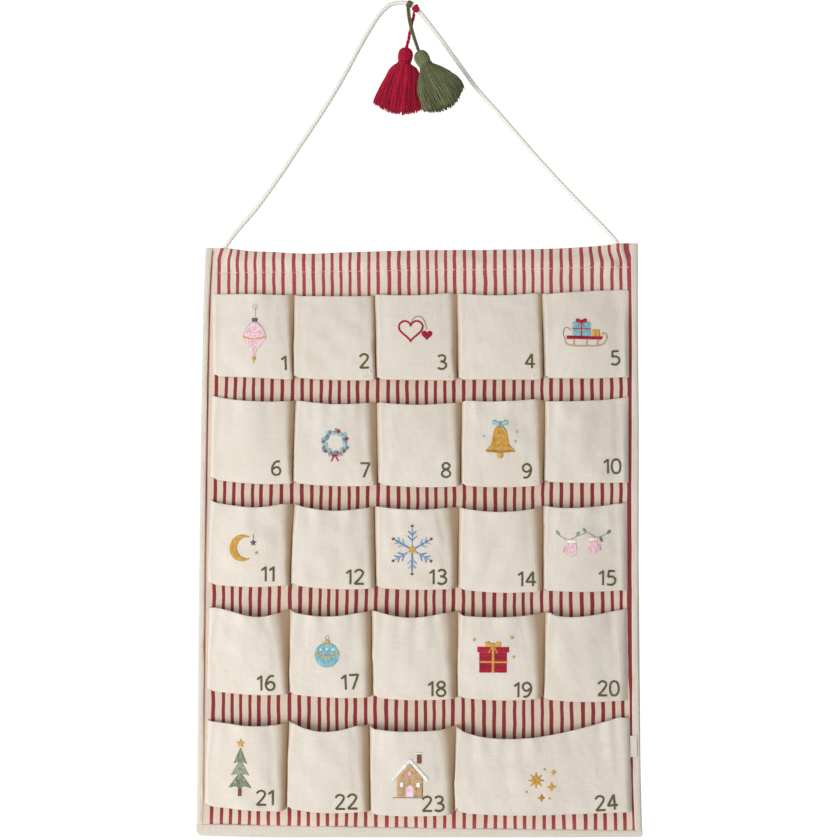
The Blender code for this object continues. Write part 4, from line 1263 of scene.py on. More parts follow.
def star(cx, cz, outer, inner, points=5, turn=90.0):
    shape = []
    for i in range(points * 2):
        r = inner if i % 2 else outer
        q = math.radians(turn + 180 / points * i)
        shape.append((cx + r * math.cos(q), cz + r * math.sin(q)))
    return shape


def leaf(x, z, length, width, angle):
    """A pointed leaf from its stem end at (x, z)."""
    c, s = math.cos(math.radians(angle)), math.sin(math.radians(angle))
    shape = []
    for side, ts in ((1, np.linspace(0, 1, 8)), (-1, np.linspace(1, 0, 8)[1:-1])):
        for t in ts:
            along, off = t * length, side * width / 2 * math.sin(math.pi * t) ** 0.9
            shape.append((x + along * c - off * s, z + along * s + off * c))
    return shape


def box(x0, z0, x1, z1):
    """A rectangle from its lower left to its upper right corner."""
    return [(x0, z0), (x1, z0), (x1, z1), (x0, z1)]


def dots(work, places, size, colour):
    for x, z in places:
        work.fill(ellipse(x, z, size, size, 10), 0, colour)


def bow(work, x, z, size, colour, dark):
    """A small ribbon bow: two loops, two tails and a knot."""
    for sign in (-1, 1):
        loop, tail = ([(x + sign * a * size, z + b * size) for a, b in shape] for shape in (
            ((0.55, 0.38), (0.95, 0.30), (0.92, -0.14), (0.5, -0.22)), ((0.28, -0.5), (0.52, -0.95))))
        work.fill([(x, z)] + loop, 90 + sign * 18, colour)
        work.line_of_satin([(x, z)] + tail, 1.3, colour)
    work.fill(ellipse(x, z, 0.2 * size, 0.22 * size, 12), 0, dark)


GOLD = srgb(212, 166, 76)
OCHRE = srgb(186, 136, 60)
TEAL = srgb(150, 194, 196)
DEEP_TEAL = srgb(104, 154, 162)
RED = srgb(178, 32, 54)
WINE = srgb(136, 26, 46)
PINK = srgb(238, 208, 211)
ROSE = srgb(222, 174, 183)
SAGE = srgb(148, 158, 138)
MOSS = srgb(112, 124, 100)
TAN = srgb(204, 170, 130)
BROWN = srgb(126, 86, 60)
SLATE = srgb(98, 100, 104)
BLUE = srgb(98, 140, 186)
PALE_BLUE = srgb(156, 190, 214)
WHITE = srgb(240, 236, 228)


def drop_ornament(w):
    w.backstitch([(0, 31), (0.6, 24), (0, 17.5)], TAN)
    w.backstitch(ellipse(0, 29.5, 2.6, 3.2, 14), TAN, closed=True)
    w.fill([(-2.4, 13.6), (2.4, 13.6), (3.0, 17.4), (-3.0, 17.4)], 0, SLATE)
    body = [(0, 13.8), (3.6, 12.2), (8.2, 7.6), (11.6, 1.0), (12.4, -4.2), (9.6, -8.4), (4.8, -13.8),
            (1.4, -20.0),
            (0, -23.0)]
    body += [(-x, z) for x, z in body[-2:0:-1]]
    w.fill(body, 90, PINK, second=ROSE, longest=7.5)
    w.line_of_satin([(-11.6, -2.6), (-5.8, -4.4), (0, -5.0), (5.8, -4.4), (11.6, -2.6)], 2.0, GOLD)
    w.backstitch([(-9.8, 3.6), (-5, 2.2), (0, 1.6), (5, 2.2), (9.8, 3.6)], TAN)
    w.fill(ellipse(0, -25.6, 1.9, 2.2, 14), 0, GOLD)
    w.backstitch([(0, -27.6), (0, -31)], OCHRE)


def heart(cx, cz, size):
    shape = []
    for q in np.linspace(0, 2 * math.pi, 34)[:-1]:
        rise = (0.8125 * math.cos(q) - 0.3125 * math.cos(2 * q)
                - 0.125 * math.cos(3 * q) - 0.0625 * math.cos(4 * q))
        shape.append((cx + size * math.sin(q) ** 3, cz + size * rise))
    return shape


def heart_pair(w):
    big = heart(-4.5, 0.5, 12.5)
    w.line_of_satin(big + [big[0]], 2.3, RED, slant=20)
    w.fill(heart(12.5, -5.0, 5.6), 60, RED, second=WINE)
    w.backstitch([(-4.5, 5.8), (-2.0, 12.5), (3.5, 15.0), (9.0, 11.5), (12.5, 0.5)], WINE)


def sled(w):
    w.line_of_satin([(-22, -9), (-20.5, -13.5), (-14, -15.5), (0, -15.5), (12, -15.2), (19, -12.4),
                     (22.5, -6.0),
                     (20.5, -1.5), (17.0, -2.6)], 1.7, TAN)
    for x in (-13.0, 0.5, 12.0):
        w.line_of_satin([(x, -15.0), (x + 0.5, -8.4)], 1.5, TAN, smooth=False)
    w.fill([(-20, -8.4), (16.5, -8.4), (17.5, -5.2), (-20.5, -5.2)], 0, RED, second=WINE)
    w.fill(box(-14, -4.9, 5, 9.5), 90, TEAL, second=DEEP_TEAL)
    w.line_of_satin([(-4.6, -4.9), (-4.6, 9.5)], 2.0, RED, smooth=False)
    w.line_of_satin([(-14, 2.6), (5, 2.6)], 2.0, RED, smooth=False)
    bow(w, -4.6, 11.2, 6.2, RED, WINE)
    w.fill(box(6.8, -4.9, 14.6, 2.4), 0, GOLD)
    w.backstitch([(10.7, -4.9), (10.7, 2.4)], BROWN, smooth=False)
    w.backstitch([(-22, -9), (-24, -2), (-21, 4), (-16, 1)], BROWN)


def wreath(w):
    for i in range(17):
        q = 360 / 17 * i
        x, z = 11.8 * math.cos(math.radians(q)), 11.8 * math.sin(math.radians(q))
        angle = q + (78 if i % 2 else 128)
        w.fill(leaf(x, z, 7.4, 3.4, angle), angle, TEAL if i % 3 else DEEP_TEAL)
    w.backstitch(ellipse(0, 0, 12.2, 12.2, 30), DEEP_TEAL, closed=True)
    for q in (20, 75, 118, 172, 222, 318):
        w.fill(ellipse(12.4 * math.cos(math.radians(q)), 12.4 * math.sin(math.radians(q)), 1.9, 1.9, 14), 30,
               RED)
    bow(w, 0, -12.4, 7.0, RED, WINE)


def bell(w):
    bow(w, 0, 17.5, 9.0, TEAL, DEEP_TEAL)
    body = [(-3.0, 14.6), (3.0, 14.6), (6.4, 9.8), (8.0, 2.0), (9.6, -5.4), (14.6, -10.6), (-14.6, -10.6),
            (-9.6, -5.4), (-8.0, 2.0), (-6.4, 9.8)]
    w.fill(body, 90, GOLD, second=OCHRE, longest=7.0)
    w.line_of_satin([(-14.8, -11.4), (0, -12.4), (14.8, -11.4)], 2.2, OCHRE)
    w.fill(ellipse(0, -16.0, 3.0, 3.0, 16), 0, GOLD)
    w.backstitch([(-8.2, 0.4), (0, -1.0), (8.2, 0.4)], BROWN)
    dots(w, ((-17.5, 4.0), (17.0, 8.5), (15.5, -1.5)), 1.2, TEAL)


def moon(w):
    outer = ellipse(-2.0, 0.0, 13.2, 13.6, 22, 62, 298)
    inner = ellipse(3.2, 0.2, 10.8, 11.0, 22, 286, 74)
    w.fill(outer + inner, 48, GOLD, second=OCHRE)
    w.fill(star(9.5, 5.5, 3.6, 1.5), 0, SLATE)
    w.fill(star(12.8, -5.0, 2.3, 1.0), 0, GOLD)
    w.backstitch([(9.5, 9.4), (9.5, 14.0)], SLATE)


def snowflake(w):
    for i in range(6):
        q = math.radians(60 * i + 90)
        c, s = math.cos(q), math.sin(q)
        arm, twigs = (BLUE, PALE_BLUE) if i % 2 else (PALE_BLUE, BLUE)
        tip = 22.0 if i % 3 == 0 else 20.0
        spot = lambda along, off: (along * c - off * s, along * s + off * c)
        w.line_of_satin([spot(3.2, 0), spot(tip, 0)], 1.5, arm, smooth=False)
        for along, reach in ((9.5, 4.8), (15.0, 4.0)):
            for side in (-1, 1):
                w.line_of_satin([spot(along, 0), spot(along + reach, side * reach * 0.95)], 1.1, twigs,
                                smooth=False)
        w.fill(ellipse(*spot(tip + 2.6, 0), 1.3, 1.3, 10), 0, BROWN)
    w.fill(star(0, 0, 5.2, 2.8, 6), 30, GOLD)


def mittens(w):
    w.backstitch([(-26, 11), (-17, 6.5), (-6, 10.5), (4, 13.5), (14, 9.0), (26, 14.0)], SAGE, width=0.0008)
    for x, z, angle in ((-25.5, 11.5, 130), (-8.0, 10.0, 60), (2.0, 13.5, 120), (24.0, 13.0, 35),
                        (17.0, 9.5, -70)):
        w.fill(leaf(x, z, 5.6, 2.8, angle), angle, SAGE if x < 10 else MOSS)
    for sign, cx, top, thumb in ((-1, -13.0, 6.5, 238), (1, 9.0, 9.0, -58)):
        w.fill([(cx - 4.2, top), (cx + 4.2, top), (cx + 4.4, top - 3.4), (cx - 4.4, top - 3.4)], 90, WHITE,
               second=PINK)
        hand = ((-4.6, 3.7), (4.6, 3.7), (5.4, 10.0), (4.2, 15.6), (0, 18.0), (-4.2, 15.6), (-5.4, 10.0))
        w.fill([(cx + a, top - b) for a, b in hand], 90, PINK, second=ROSE)
        w.fill(leaf(cx + sign * 4.4, top - 7.0, 8.0, 4.2, thumb), thumb, ROSE)


def bauble(w):
    w.backstitch(ellipse(0, 14.6, 1.8, 2.2, 12), OCHRE, closed=True)
    w.fill([(-2.6, 9.2), (2.6, 9.2), (2.2, 12.4), (-2.2, 12.4)], 0, GOLD)
    w.fill(ellipse(0, -3.0, 12.4, 12.4, 36), 90, TEAL, second=DEEP_TEAL, longest=7.0)
    w.line_of_satin([(-12.0, -1.4), (-6, -3.6), (0, -4.3), (6, -3.6), (12.0, -1.4)], 2.4, GOLD)
    dots(w, ((-6.4, 2.6), (0.0, 3.1), (6.4, 2.6)), 1.1, WHITE)


def gift(w):
    w.fill(box(-14.0, -17.5, 14.0, 2.4), 90, RED, second=WINE)
    w.fill(box(-16.0, 2.9, 16.0, 8.2), 0, RED)
    w.line_of_satin([(0, -17.5), (0, 8.2)], 3.2, GOLD, smooth=False, slant=0)
    w.line_of_satin([(-14.0, -7.0), (14.0, -7.0)], 2.2, GOLD, smooth=False, slant=0)
    bow(w, 0, 10.4, 8.4, GOLD, OCHRE)
    for x, z, r in ((-19.5, 15.5, 2.2), (19.0, 18.0, 2.4), (21.0, -2.0, 1.8)):
        w.fill(star(x, z, r, r * 0.42, 4), 0, GOLD)


def fir(w):
    w.fill([(-1.9, -29.0), (1.9, -29.0), (1.6, -20.0), (-1.6, -20.0)], 90, BROWN)
    for top, low, wide, tone in ((-5.0, -21.0, 11.8, MOSS), (7.5, -8.5, 9.4, SAGE), (19.5, 3.5, 6.8, MOSS)):
        w.fill([(0, top), (wide, low), (wide * 0.45, low + 1.8), (0, low + 0.4), (-wide * 0.45, low + 1.8),
                (-wide, low)], 90, tone, second=SAGE, longest=7.5)
    w.fill(star(0, 23.6, 4.6, 1.9), 0, GOLD)
    dots(w, ((-4.6, -15.0), (4.0, -12.5), (-2.4, -2.6), (3.6, -0.6), (0.4, 9.8)), 1.0, GOLD)


def house(w):
    w.fill([(-13.0, -22.0), (13.0, -22.0), (13.0, -2.0), (0, 12.0), (-13.0, -2.0)], 0, TAN,
           second=srgb(190, 152, 112))
    w.line_of_satin([(-18.0, -5.0), (-9, 5.0), (0, 15.0)], 4.2, WHITE, smooth=False, slant=0)
    w.line_of_satin([(0, 15.0), (9, 5.0), (18.0, -5.0)], 4.2, WHITE, smooth=False, slant=0)
    w.fill(box(7.0, 12.0, 11.5, 21.0), 90, BROWN)
    w.line_of_satin([(6.0, 21.8), (12.5, 21.8)], 2.0, WHITE, smooth=False, slant=0)
    w.fill([(-3.8, -22.0), (3.8, -22.0), (3.8, -13.0), (2.4, -10.4), (0, -9.4), (-2.4, -10.4), (-3.8, -13.0)],
           90,
           PINK, second=ROSE)
    for x in (-8.4, 8.4):
        window = box(x - 2.2, -12.0, x + 2.2, -7.0)
        w.fill(window, 0, WHITE)
        w.backstitch(window, BROWN, smooth=False, closed=True)
    w.fill(ellipse(0, 1.8, 2.4, 2.4, 14), 0, ROSE)
    w.backstitch([(-17.5, -22.6), (17.5, -22.6)], BROWN, smooth=False)


def starlight(w):
    w.fill(star(-4.0, 4.5, 8.8, 3.5, 8, 90), 20, GOLD, second=OCHRE)
    w.fill(star(11.5, -2.0, 5.0, 1.9, 4), 0, GOLD)
    w.fill(star(1.5, -13.0, 4.2, 1.7, 4), 0, OCHRE)
    w.fill(star(13.5, 12.5, 3.2, 1.3, 4), 0, GOLD)
    dots(w, ((-14.0, -7.0), (9.5, -13.5), (4.5, 15.5)), 1.0, GOLD)


# Each picture's centre in the photograph; the pictures are this script's own
MOTIFS_PX = {
    1: (254, 334, drop_ornament), 3: (415, 330, heart_pair), 5: (586, 331, sled), 7: (335, 443, wreath),
    9: (500, 440, bell), 11: (244, 548, moon), 13: (412, 550, snowflake), 15: (584, 546, mittens),
    17: (327, 652, bauble), 19: (493, 655, gift), 21: (240, 767, fir), 23: (410, 775, house),
    24: (540, 785, starlight),
}


def make_motif(number):
    u, v, draw = MOTIFS_PX[number]
    work = Embroidery(number, at(u, v, SEWN_Y), 0.0, 700 + number)
    draw(work)
    work.finish(f"picture_{number:02d}")


# Cord

CORD_DIAMETER = 0.0042
CORD_PX = ((225.0, 247.6), (231.3, 238), (242.1, 225), (255.2, 210), (269.9, 190), (283.9, 170), (297.0, 150),
           (310.6, 130), (323.6, 110), (336.0, 90), (347.4, 70), (358.1, 50), (369.5, 30), (375.8, 20),
           (381.5, 12.4), (390.0, 5.0), (398.0, 2.9), (405.0, 3.1), (411.0, 4.8), (417.0, 9.2), (422.0, 14.8),
           (427.0, 21.0), (433.0, 28.8), (440.8, 39), (459.0, 64), (478.0, 90), (495.8, 110), (513.2, 130),
           (530.4, 150), (548.5, 170), (567.1, 190), (586.4, 210), (601.4, 225), (613.4, 238), (618.6, 246))
CORD_ROUTE = [at(u, v) for u, v in CORD_PX]
CORD_LAY = 0.0135


def make_cord():
    """The carrying cord over the hook, and its two ends that go down inside the casing."""
    route = rounded_line([(x, 0.0, z) for x, z in CORD_ROUTE], 6)
    verts, faces, uv, line = rope(route, CORD_DIAMETER / 2 * 1.12, 3, CORD_LAY, 0.0007, sides=7, depth=0.10)
    piece = new_piece("carrying_rope", verts, faces, CORD, "carrying_cord", uvs={"rope": uv})
    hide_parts("hanging_cord")
    for side, start, foot in (("left", route[0], TAIL_FEET[0]), ("right", route[-1], TAIL_FEET[1])):
        middle = (between(start[0], foot[0], 0.45), 0.0, between(start[2], foot[1], 0.5))
        points = rounded_line([start, middle, (foot[0], 0.0, foot[1])])
        verts, faces, uv, _ = rope(points, CORD_DIAMETER / 2 * 0.96, 3, CORD_LAY, 0.0008)
        tail = new_piece(f"rope_end_{side}", verts, faces, CORD, "panel", uvs={"rope": uv})
        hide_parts(f"cord_tail_{side}")
    return line


# Tassels

HEAD_RADIUS = 0.0079
HEAD_LENGTH = 0.0165
NECK_RADIUS = 0.0066
WRAP_THREAD = 0.0012
WRAP_TURNS = 3
NECK_LENGTH = 0.0042
HEAD_STRANDS = 46
SKIRT_STRANDS = 640
# The share of a turn from one outer strand to the next, which spreads them evenly
GOLDEN_TURN = 0.61803
SKIRT_LENGTH = {"red": 0.0550, "green": 0.0518}
SKIRT_SIDE_LENGTH = {"red": 0.0480, "green": 0.0400}
SKIRT_HALF_WIDTH = {"red": 0.0256, "green": 0.0240}
SKIRT_HALF_DEPTH = 0.0074
STRING_DIAMETER = 0.0024
GREEN_STRAND = 0.00115
RED_PIVOT = Vector((0.0130, -0.0033, -0.0113))
RED_STRING_LENGTH = 0.0382
RED_LEAN = math.radians(-11.5)
RED_SKIRT_LEAN = math.radians(-8.0)
RED_KNOT_CENTRE = Vector((0.0154, -0.0048, -0.0062))
RED_LOOP_X = 0.0150
GREEN_HITCH_X = 0.0085
GREEN_PIVOT = Vector((0.0085, -0.00449, -0.00244))
GREEN_STRING_RUN = Vector((0.0097, -0.0161, -0.0556))
GREEN_STRING_BOW = 0.0026
GREEN_SKIRT_LEAN = math.radians(28.5)
GREEN_LEFT_LONGER = 0.0038
# The bar across the green turns: three points from the cord's own
GREEN_BAR = ((0.0012, -0.0036, 0.0022), (0.0002, -0.0042, 0.0), (-0.0004, -0.0040, -0.0026))
RED_COLOUR = srgb(190, 12, 54)
GREEN_COLOUR = srgb(112, 115, 78)
HEAD_PROFILE = spline([(0.0, 0.16), (0.03, 0.36), (0.10, 0.66), (0.24, 0.91), (0.46, 1.0), (0.70, 0.97),
                       (0.88, 0.87),
                       (1.0, 0.80)])
SKIRT_SPREADS = {
    "red": spline([(0.0, 0.0), (0.06, 0.20), (0.16, 0.40), (0.30, 0.54), (0.45, 0.68), (0.72, 0.89),
                   (0.9, 1.0),
                   (1.0, 1.01)]),
    "green": spline([(0.0, 0.0), (0.07, 0.13), (0.20, 0.40), (0.42, 0.74), (0.66, 0.94), (0.86, 1.01),
                     (1.0, 1.0)]),
}


def lean_matrix(angle):
    """Tips a hanging piece in the panel's plane: a positive angle swings its foot to the right."""
    return Matrix.Rotation(-angle, 4, "Y")


def moved(verts, matrix):
    m = np.array(matrix)
    return verts @ m[:3, :3].T + m[:3, 3]


def ring_shell(profile, segments, colour):
    """A closed turned body from (radius across, radius deep, height) rings, top to bottom."""
    angles = np.arange(segments) * 2 * math.pi / segments
    verts = [np.stack([a * np.cos(angles), b * np.sin(angles), np.full(segments, z)], 1) for a, b,
             z in profile]
    verts = np.concatenate(verts)
    last = (len(profile) - 1) * segments
    faces = grid_faces(len(profile), segments, 0, True)
    faces += [list(range(segments)), list(range(last + segments - 1, last - 1, -1))]
    return verts, faces, one_colour(colour, verts)


def tassel_core(prefix, colour):
    """The solid middle under the strands, a darker copy of the yarn colour as painted shade."""
    core = []
    for h in np.linspace(0.02, 1.0, 12):
        radius = HEAD_RADIUS * HEAD_PROFILE(h) * 0.90
        core.append((radius, radius, -h * HEAD_LENGTH))
    core += [(NECK_RADIUS * 0.93, NECK_RADIUS * 0.93, -HEAD_LENGTH - q * NECK_LENGTH) for q in (0.2, 1.0)]
    for q in np.linspace(0.08, 0.86, 9):
        spread = SKIRT_SPREADS[prefix](q)
        core.append((between(NECK_RADIUS, SKIRT_HALF_WIDTH[prefix], spread) * 0.84,
                     between(NECK_RADIUS, SKIRT_HALF_DEPTH, spread) * 0.72,
                     -HEAD_LENGTH - NECK_LENGTH - q * (SKIRT_SIDE_LENGTH[prefix] - 0.5 * NECK_LENGTH)))
    # painted shade: the core is a darker copy of the yarn colour
    return ring_shell(core, 40, colour * 0.6)


def tassel_head(colour, level, rng):
    """The head's strands, from the crown to under the wrap, made lighter by level as painted light."""
    share = np.linspace(0.0, 1.0, 16)
    paths, tones = [], []
    for i in range(HEAD_STRANDS):
        angle = 2 * math.pi * (i + rng.uniform(-0.22, 0.22)) / HEAD_STRANDS
        depth = rng.uniform(0.94, 1.015)
        twist = rng.uniform(-0.05, 0.05)
        radius = HEAD_RADIUS * HEAD_PROFILE(share) * depth - 0.00045
        around = angle + twist * np.sin(share * math.pi) + 0.02 * np.sin(7 * share + i)
        z = -share * (HEAD_LENGTH + 0.0006) + 0.0002
        paths.append(np.stack([radius * np.cos(around), radius * np.sin(around), z], 1))
        # painted light: the head's strands are level times the yarn colour, lighter than the skirt
        tones.append(colour * rng.uniform(0.86, 1.12) * level)
    middle = np.array(paths)
    outward = middle.copy()
    outward[..., 2] = 0
    outward += np.array([0, 0, 0.004]) * (1 - share)[None, :, None]
    return tubes(middle, 0.00122, front=unit(outward), taper=0.8, colours=tones)


def tassel_skirt(prefix, colour, rng):
    """The skirt's strands, in layers from the middle outwards. Its front faces -Y, its sides lie along X."""
    skirt_spread, half_width = SKIRT_SPREADS[prefix], SKIRT_HALF_WIDTH[prefix]
    inner = SKIRT_STRANDS * 0.45
    t = np.linspace(0, 1, 15)
    paths, tones, widths = [], [], []
    for i in range(SKIRT_STRANDS):
        layer = math.sqrt((i + 0.5) / SKIRT_STRANDS) if i < inner else rng.uniform(0.90, 1.0)
        angle = rng.uniform(0, 2 * math.pi) if i < inner else 2 * math.pi * (i * GOLDEN_TURN) % (2 * math.pi)
        c, s = math.cos(angle), math.sin(angle)
        side_length = SKIRT_SIDE_LENGTH[prefix] + (GREEN_LEFT_LONGER if prefix == "green" and c < 0 else 0.0)
        length = between(SKIRT_LENGTH[prefix], side_length, abs(c * layer) ** 2.0) + rng.normal(0, 0.00032)
        length = length - (0.0 if layer > 0.85 else 0.0012)
        spread = skirt_spread(np.clip(t * rng.uniform(0.93, 1.04), 0, 1))
        # the red skirt is fuller on its right
        if prefix == "red" and c > 0:
            spread = np.clip(spread, 0, None) ** 0.62
        wide = between(NECK_RADIUS * layer, half_width * layer, spread) - 0.0004
        deep = between(NECK_RADIUS * layer, SKIRT_HALF_DEPTH * layer * 0.97, spread) - 0.0003
        bend = rng.normal(0, 0.0011) * t**1.4
        bend = bend + rng.normal(0, 0.00062) * np.sin(t * rng.uniform(5, 12) + rng.uniform(0, 6)) * np.sqrt(t)
        sag = rng.normal(0, 0.0006) * np.sin(t * rng.uniform(5, 11) + rng.uniform(0, 6)) * t
        y = np.clip(deep * s + sag, -SKIRT_HALF_DEPTH, SKIRT_HALF_DEPTH)
        z = -HEAD_LENGTH - 0.0008 - t * (length - 0.0008)
        paths.append(np.stack([wide * c + bend, y, z], 1))
        tone = rng.uniform(0.66, 1.30) * (1.22 if rng.uniform() < 0.12 else 1.0)
        tone = tone * (1 + 0.21 * math.sin(9 * angle + 2.0 * math.sin(4 * angle)))
        # painted shade: the inner layers' strands are darker copies of the yarn colour
        tones.append(colour * min(tone, 1.02 if s < -0.985 else 1.35) * (0.75 if layer < 0.8 else 1.0))
        widths.append(rng.uniform(0.0009, 0.0013))
    return tubes(np.array(paths), widths, taper=0.62, colours=tones)


def make_tassel(prefix, crown, lean, colour, head_painted_light, body, seed):
    """A folded bundle of yarn: a round head of tight strands, turns round its neck, and a flared skirt."""
    rng = np.random.default_rng(seed)
    place = Matrix.Translation(crown) @ lean_matrix(lean)
    colour = np.array(colour)
    core, head = tassel_core(prefix, colour), tassel_head(colour, head_painted_light, rng)
    verts, faces, tints = joined(core, head, tassel_skirt(prefix, colour, rng))
    yarn_piece = new_piece(f"{prefix}_tassel_strands", moved(verts, place), faces, YARN, body, tints=tints)
    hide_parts(f"{prefix}_tassel_yarn")
    # turns of yarn round the neck, laid as one helix
    turns = np.linspace(-0.05, WRAP_TURNS + 0.05, 130)
    radius = NECK_RADIUS + WRAP_THREAD / 2 - 0.0001
    wobble = 1 + 0.012 * np.sin(turns * 5.1)
    around = turns * 2 * math.pi
    z = -HEAD_LENGTH - 0.0004 - (turns / WRAP_TURNS) * (NECK_LENGTH - 0.0010)
    helix = np.stack([radius * wobble * np.cos(around), radius * wobble * np.sin(around), z], 1)
    verts, faces, _, _ = rope(helix, WRAP_THREAD / 2 * 1.05, 2, 0.0042, 0.00045, sides=5, depth=0.18)
    tints = one_colour(colour * 0.98, verts)
    wrap = new_piece(f"{prefix}_neck_turns", moved(verts, place), faces, YARN, body, tints=tints)
    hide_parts(f"{prefix}_neck_wrap")


def dyed_rope(colour, *settings, **more):
    """A rope of one colour, ready to be joined, and its middle line."""
    verts, faces, _, middle = rope(*settings, **more)
    return (verts, faces, one_colour(colour, verts)), middle


def turns_on_cord(line, x, turns, thread, colour, spread=1.0):
    """Turns of string wound round the cord near this X, and the cord's point there."""
    index = int(np.argmin(np.abs(line[:, 0] - x)))
    way = unit(line[index + 4] - line[index - 4])
    out = np.array(FORWARD)
    side = np.cross(way, out)
    steps = np.linspace(0, turns, int(34 * turns))
    angle = steps * 2 * math.pi
    radius = CORD_DIAMETER / 2 + thread / 2 + 0.00005
    middle = (
        line[index] + side * (radius * np.cos(angle))[:, None] + out * (radius * np.sin(angle))[:, None]
        + way * ((steps - turns / 2) * thread * spread)[:, None]
    )
    return dyed_rope(colour, middle, thread / 2, 2, 0.0044, 0.0004, sides=5, depth=0.2)[0], line[index]


def straight(start, end, run):
    """The points at these shares of the way from start to end."""
    return np.array(start)[None] * (1 - run)[:, None] + np.array(end)[None] * run[:, None]


def make_red_string(line):
    """A loop on the cord with a knot before it, then a twisted string and its tassel."""
    red = np.array(RED_COLOUR)
    tilt = np.array(Matrix.Rotation(math.radians(38), 3, "Y"))
    u = np.linspace(0, 1, 120)
    swell = 0.0011 + 0.0011 * np.sin(math.pi * u)
    knot = np.stack([swell * np.cos(u * 17.5), swell * 0.8 * np.sin(u * 17.5), 0.0030 - 0.0060 * u], 1)
    knot = knot @ tilt.T + np.array(RED_KNOT_CENTRE)
    pivot = np.array(RED_PIVOT)
    halfway = between(knot[-1], pivot, 0.5) + np.array((-0.0004, 0, 0))
    stub = rounded_line([knot[-1], halfway, pivot + np.array((0, 0, -0.0012))])
    wound, _ = dyed_rope(red, np.concatenate([knot, stub[3:]]), 0.00125, 2, 0.0060, 0.0004, depth=0.2)
    rings = [(0.0019 * math.sin(a), 0.0016 * math.sin(a), 0.0034 * math.cos(a)) for a in np.linspace(0.15,
                                                                                                     3.0, 9)]
    # painted shade: the knot's core is a darker copy of the red between the turns
    verts, faces, tints = ring_shell(rings, 14, red * 0.8)
    core = (verts @ tilt.T + np.array(RED_KNOT_CENTRE), faces, tints)
    loop, _ = turns_on_cord(line, RED_LOOP_X, 1.25, 0.0022, red)
    verts, faces, tints = joined(wound, core, loop)
    piece = new_piece("red_cord_knot", verts, faces, YARN, "carrying_cord", tints=tints)
    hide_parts("red_knot")
    end = RED_PIVOT + lean_matrix(RED_LEAN) @ Vector((0.0, 0.0, -RED_STRING_LENGTH))
    run = np.linspace(0, 1, 40)
    path = straight(RED_PIVOT, end, run)
    path[:, 0] += 0.00022 * np.sin(run * 19)
    (verts, faces, tints), middle = dyed_rope(
        red * 0.97, path, STRING_DIAMETER / 2 * 1.50, 2, 0.0105, 0.0005, sides=7, depth=0.26)
    string = new_piece("red_twisted_string", verts, faces, YARN, "red_tassel", tints=tints)
    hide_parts("red_string")
    crown = end + lean_matrix(RED_SKIRT_LEAN) @ Vector((0.0, 0.0, -0.0003))
    make_tassel("red", crown, RED_SKIRT_LEAN, RED_COLOUR, 1.08, "red_tassel", 11)


def make_green_string(line):
    """Turns on the cord with a bar across them, then a doubled string and its tassel."""
    green = np.array(GREEN_COLOUR)
    wound, place = turns_on_cord(line, GREEN_HITCH_X, 2.5, 0.0017, green * 1.15, spread=1.25)
    bar = rounded_line([place + np.array(off) for off in GREEN_BAR])
    verts, faces, tints = joined(wound,
                                 dyed_rope(green * 0.95, bar, 0.0009, 2, 0.0046, 0.0004, sides=5,
                                           depth=0.2)[0])
    hitch = new_piece("green_cord_turns", verts, faces, YARN, "carrying_cord", tints=tints)
    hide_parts("green_hitch")
    end = GREEN_PIVOT + GREEN_STRING_RUN
    run = np.linspace(0, 1, 40)
    middle = straight(GREEN_PIVOT, end, run)
    middle[:, 0] -= GREEN_STRING_BOW * np.sin(math.pi * run**0.85) + 0.0016 * (1 - run) ** 2
    strands = []
    for sign, level in ((-1, 1.05), (1, 1.15)):
        strand = middle.copy()
        strand[:, 0] += sign * GREEN_STRAND * 0.86 * np.cos(run * math.pi * 0.22)
        strand[:, 1] += sign * GREEN_STRAND * 0.86 * np.sin(run * math.pi * 0.22)
        strands.append(dyed_rope(green * level, strand, GREEN_STRAND, 2, 0.0064, 0.0006, sides=5,
                                 depth=0.16)[0])
    verts, faces, tints = joined(*strands)
    string = new_piece("green_doubled_string", verts, faces, YARN, "green_string", tints=tints)
    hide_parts("green_string")
    crown = end + lean_matrix(GREEN_SKIRT_LEAN) @ Vector((0.0, 0.0, -(STRING_DIAMETER / 2 + 0.0003)))
    crown = crown + Vector((-0.0009, 0.0, 0.0))
    make_tassel("green", crown, GREEN_SKIRT_LEAN, GREEN_COLOUR, 1.35, "green_tassel", 12)


# Side label

# The share of the label's width at which its fold begins and ends
LABEL_FOLD = (0.46, 0.54)


def make_label():
    """A small bare woven label, folded in two round the front of the right binding's inner edge."""
    low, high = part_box("side_label")
    columns, rows = 26, 30
    wide = high.x - low.x
    before, after = LABEL_FOLD
    verts, uv = [], []
    for j, h in enumerate(np.linspace(low.z, high.z, rows)):
        for u in np.linspace(0, 1, columns):
            if u < before:
                x, y = low.x + wide * (u / before), low.y
            elif u < after:
                a = (u - before) / 0.08 * math.pi
                x, y = high.x + 0.0002 * math.sin(a), between(low.y, high.y, (1 - math.cos(a)) / 2)
            else:
                x, y = high.x - wide * ((u - after) / before), high.y
            share = (x - low.x) / wide
            lift = 0.0004 * math.sin(math.pi * j / (rows - 1)) * share
            verts.append((x, y - lift, h + 0.0002 * share))
            uv.append((u * wide * 2.1, h))
    piece = new_piece("folded_label", verts, grid_faces(rows, columns), LABEL, uvs={"cloth": uv})
    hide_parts("side_label")


# Camera, light and floor

AMBIENT = 0.72
AMBIENT_ABOVE = 0.45
AMBIENT_COLOUR = (0.975, 1.0, 1.035, 1.0)
BACKDROP = 1.05
CLOTH_LIGHT = (0.975, 1.0, 1.055)
FLOOR_Z = -3.1
FLOOR_REACH = 6.0


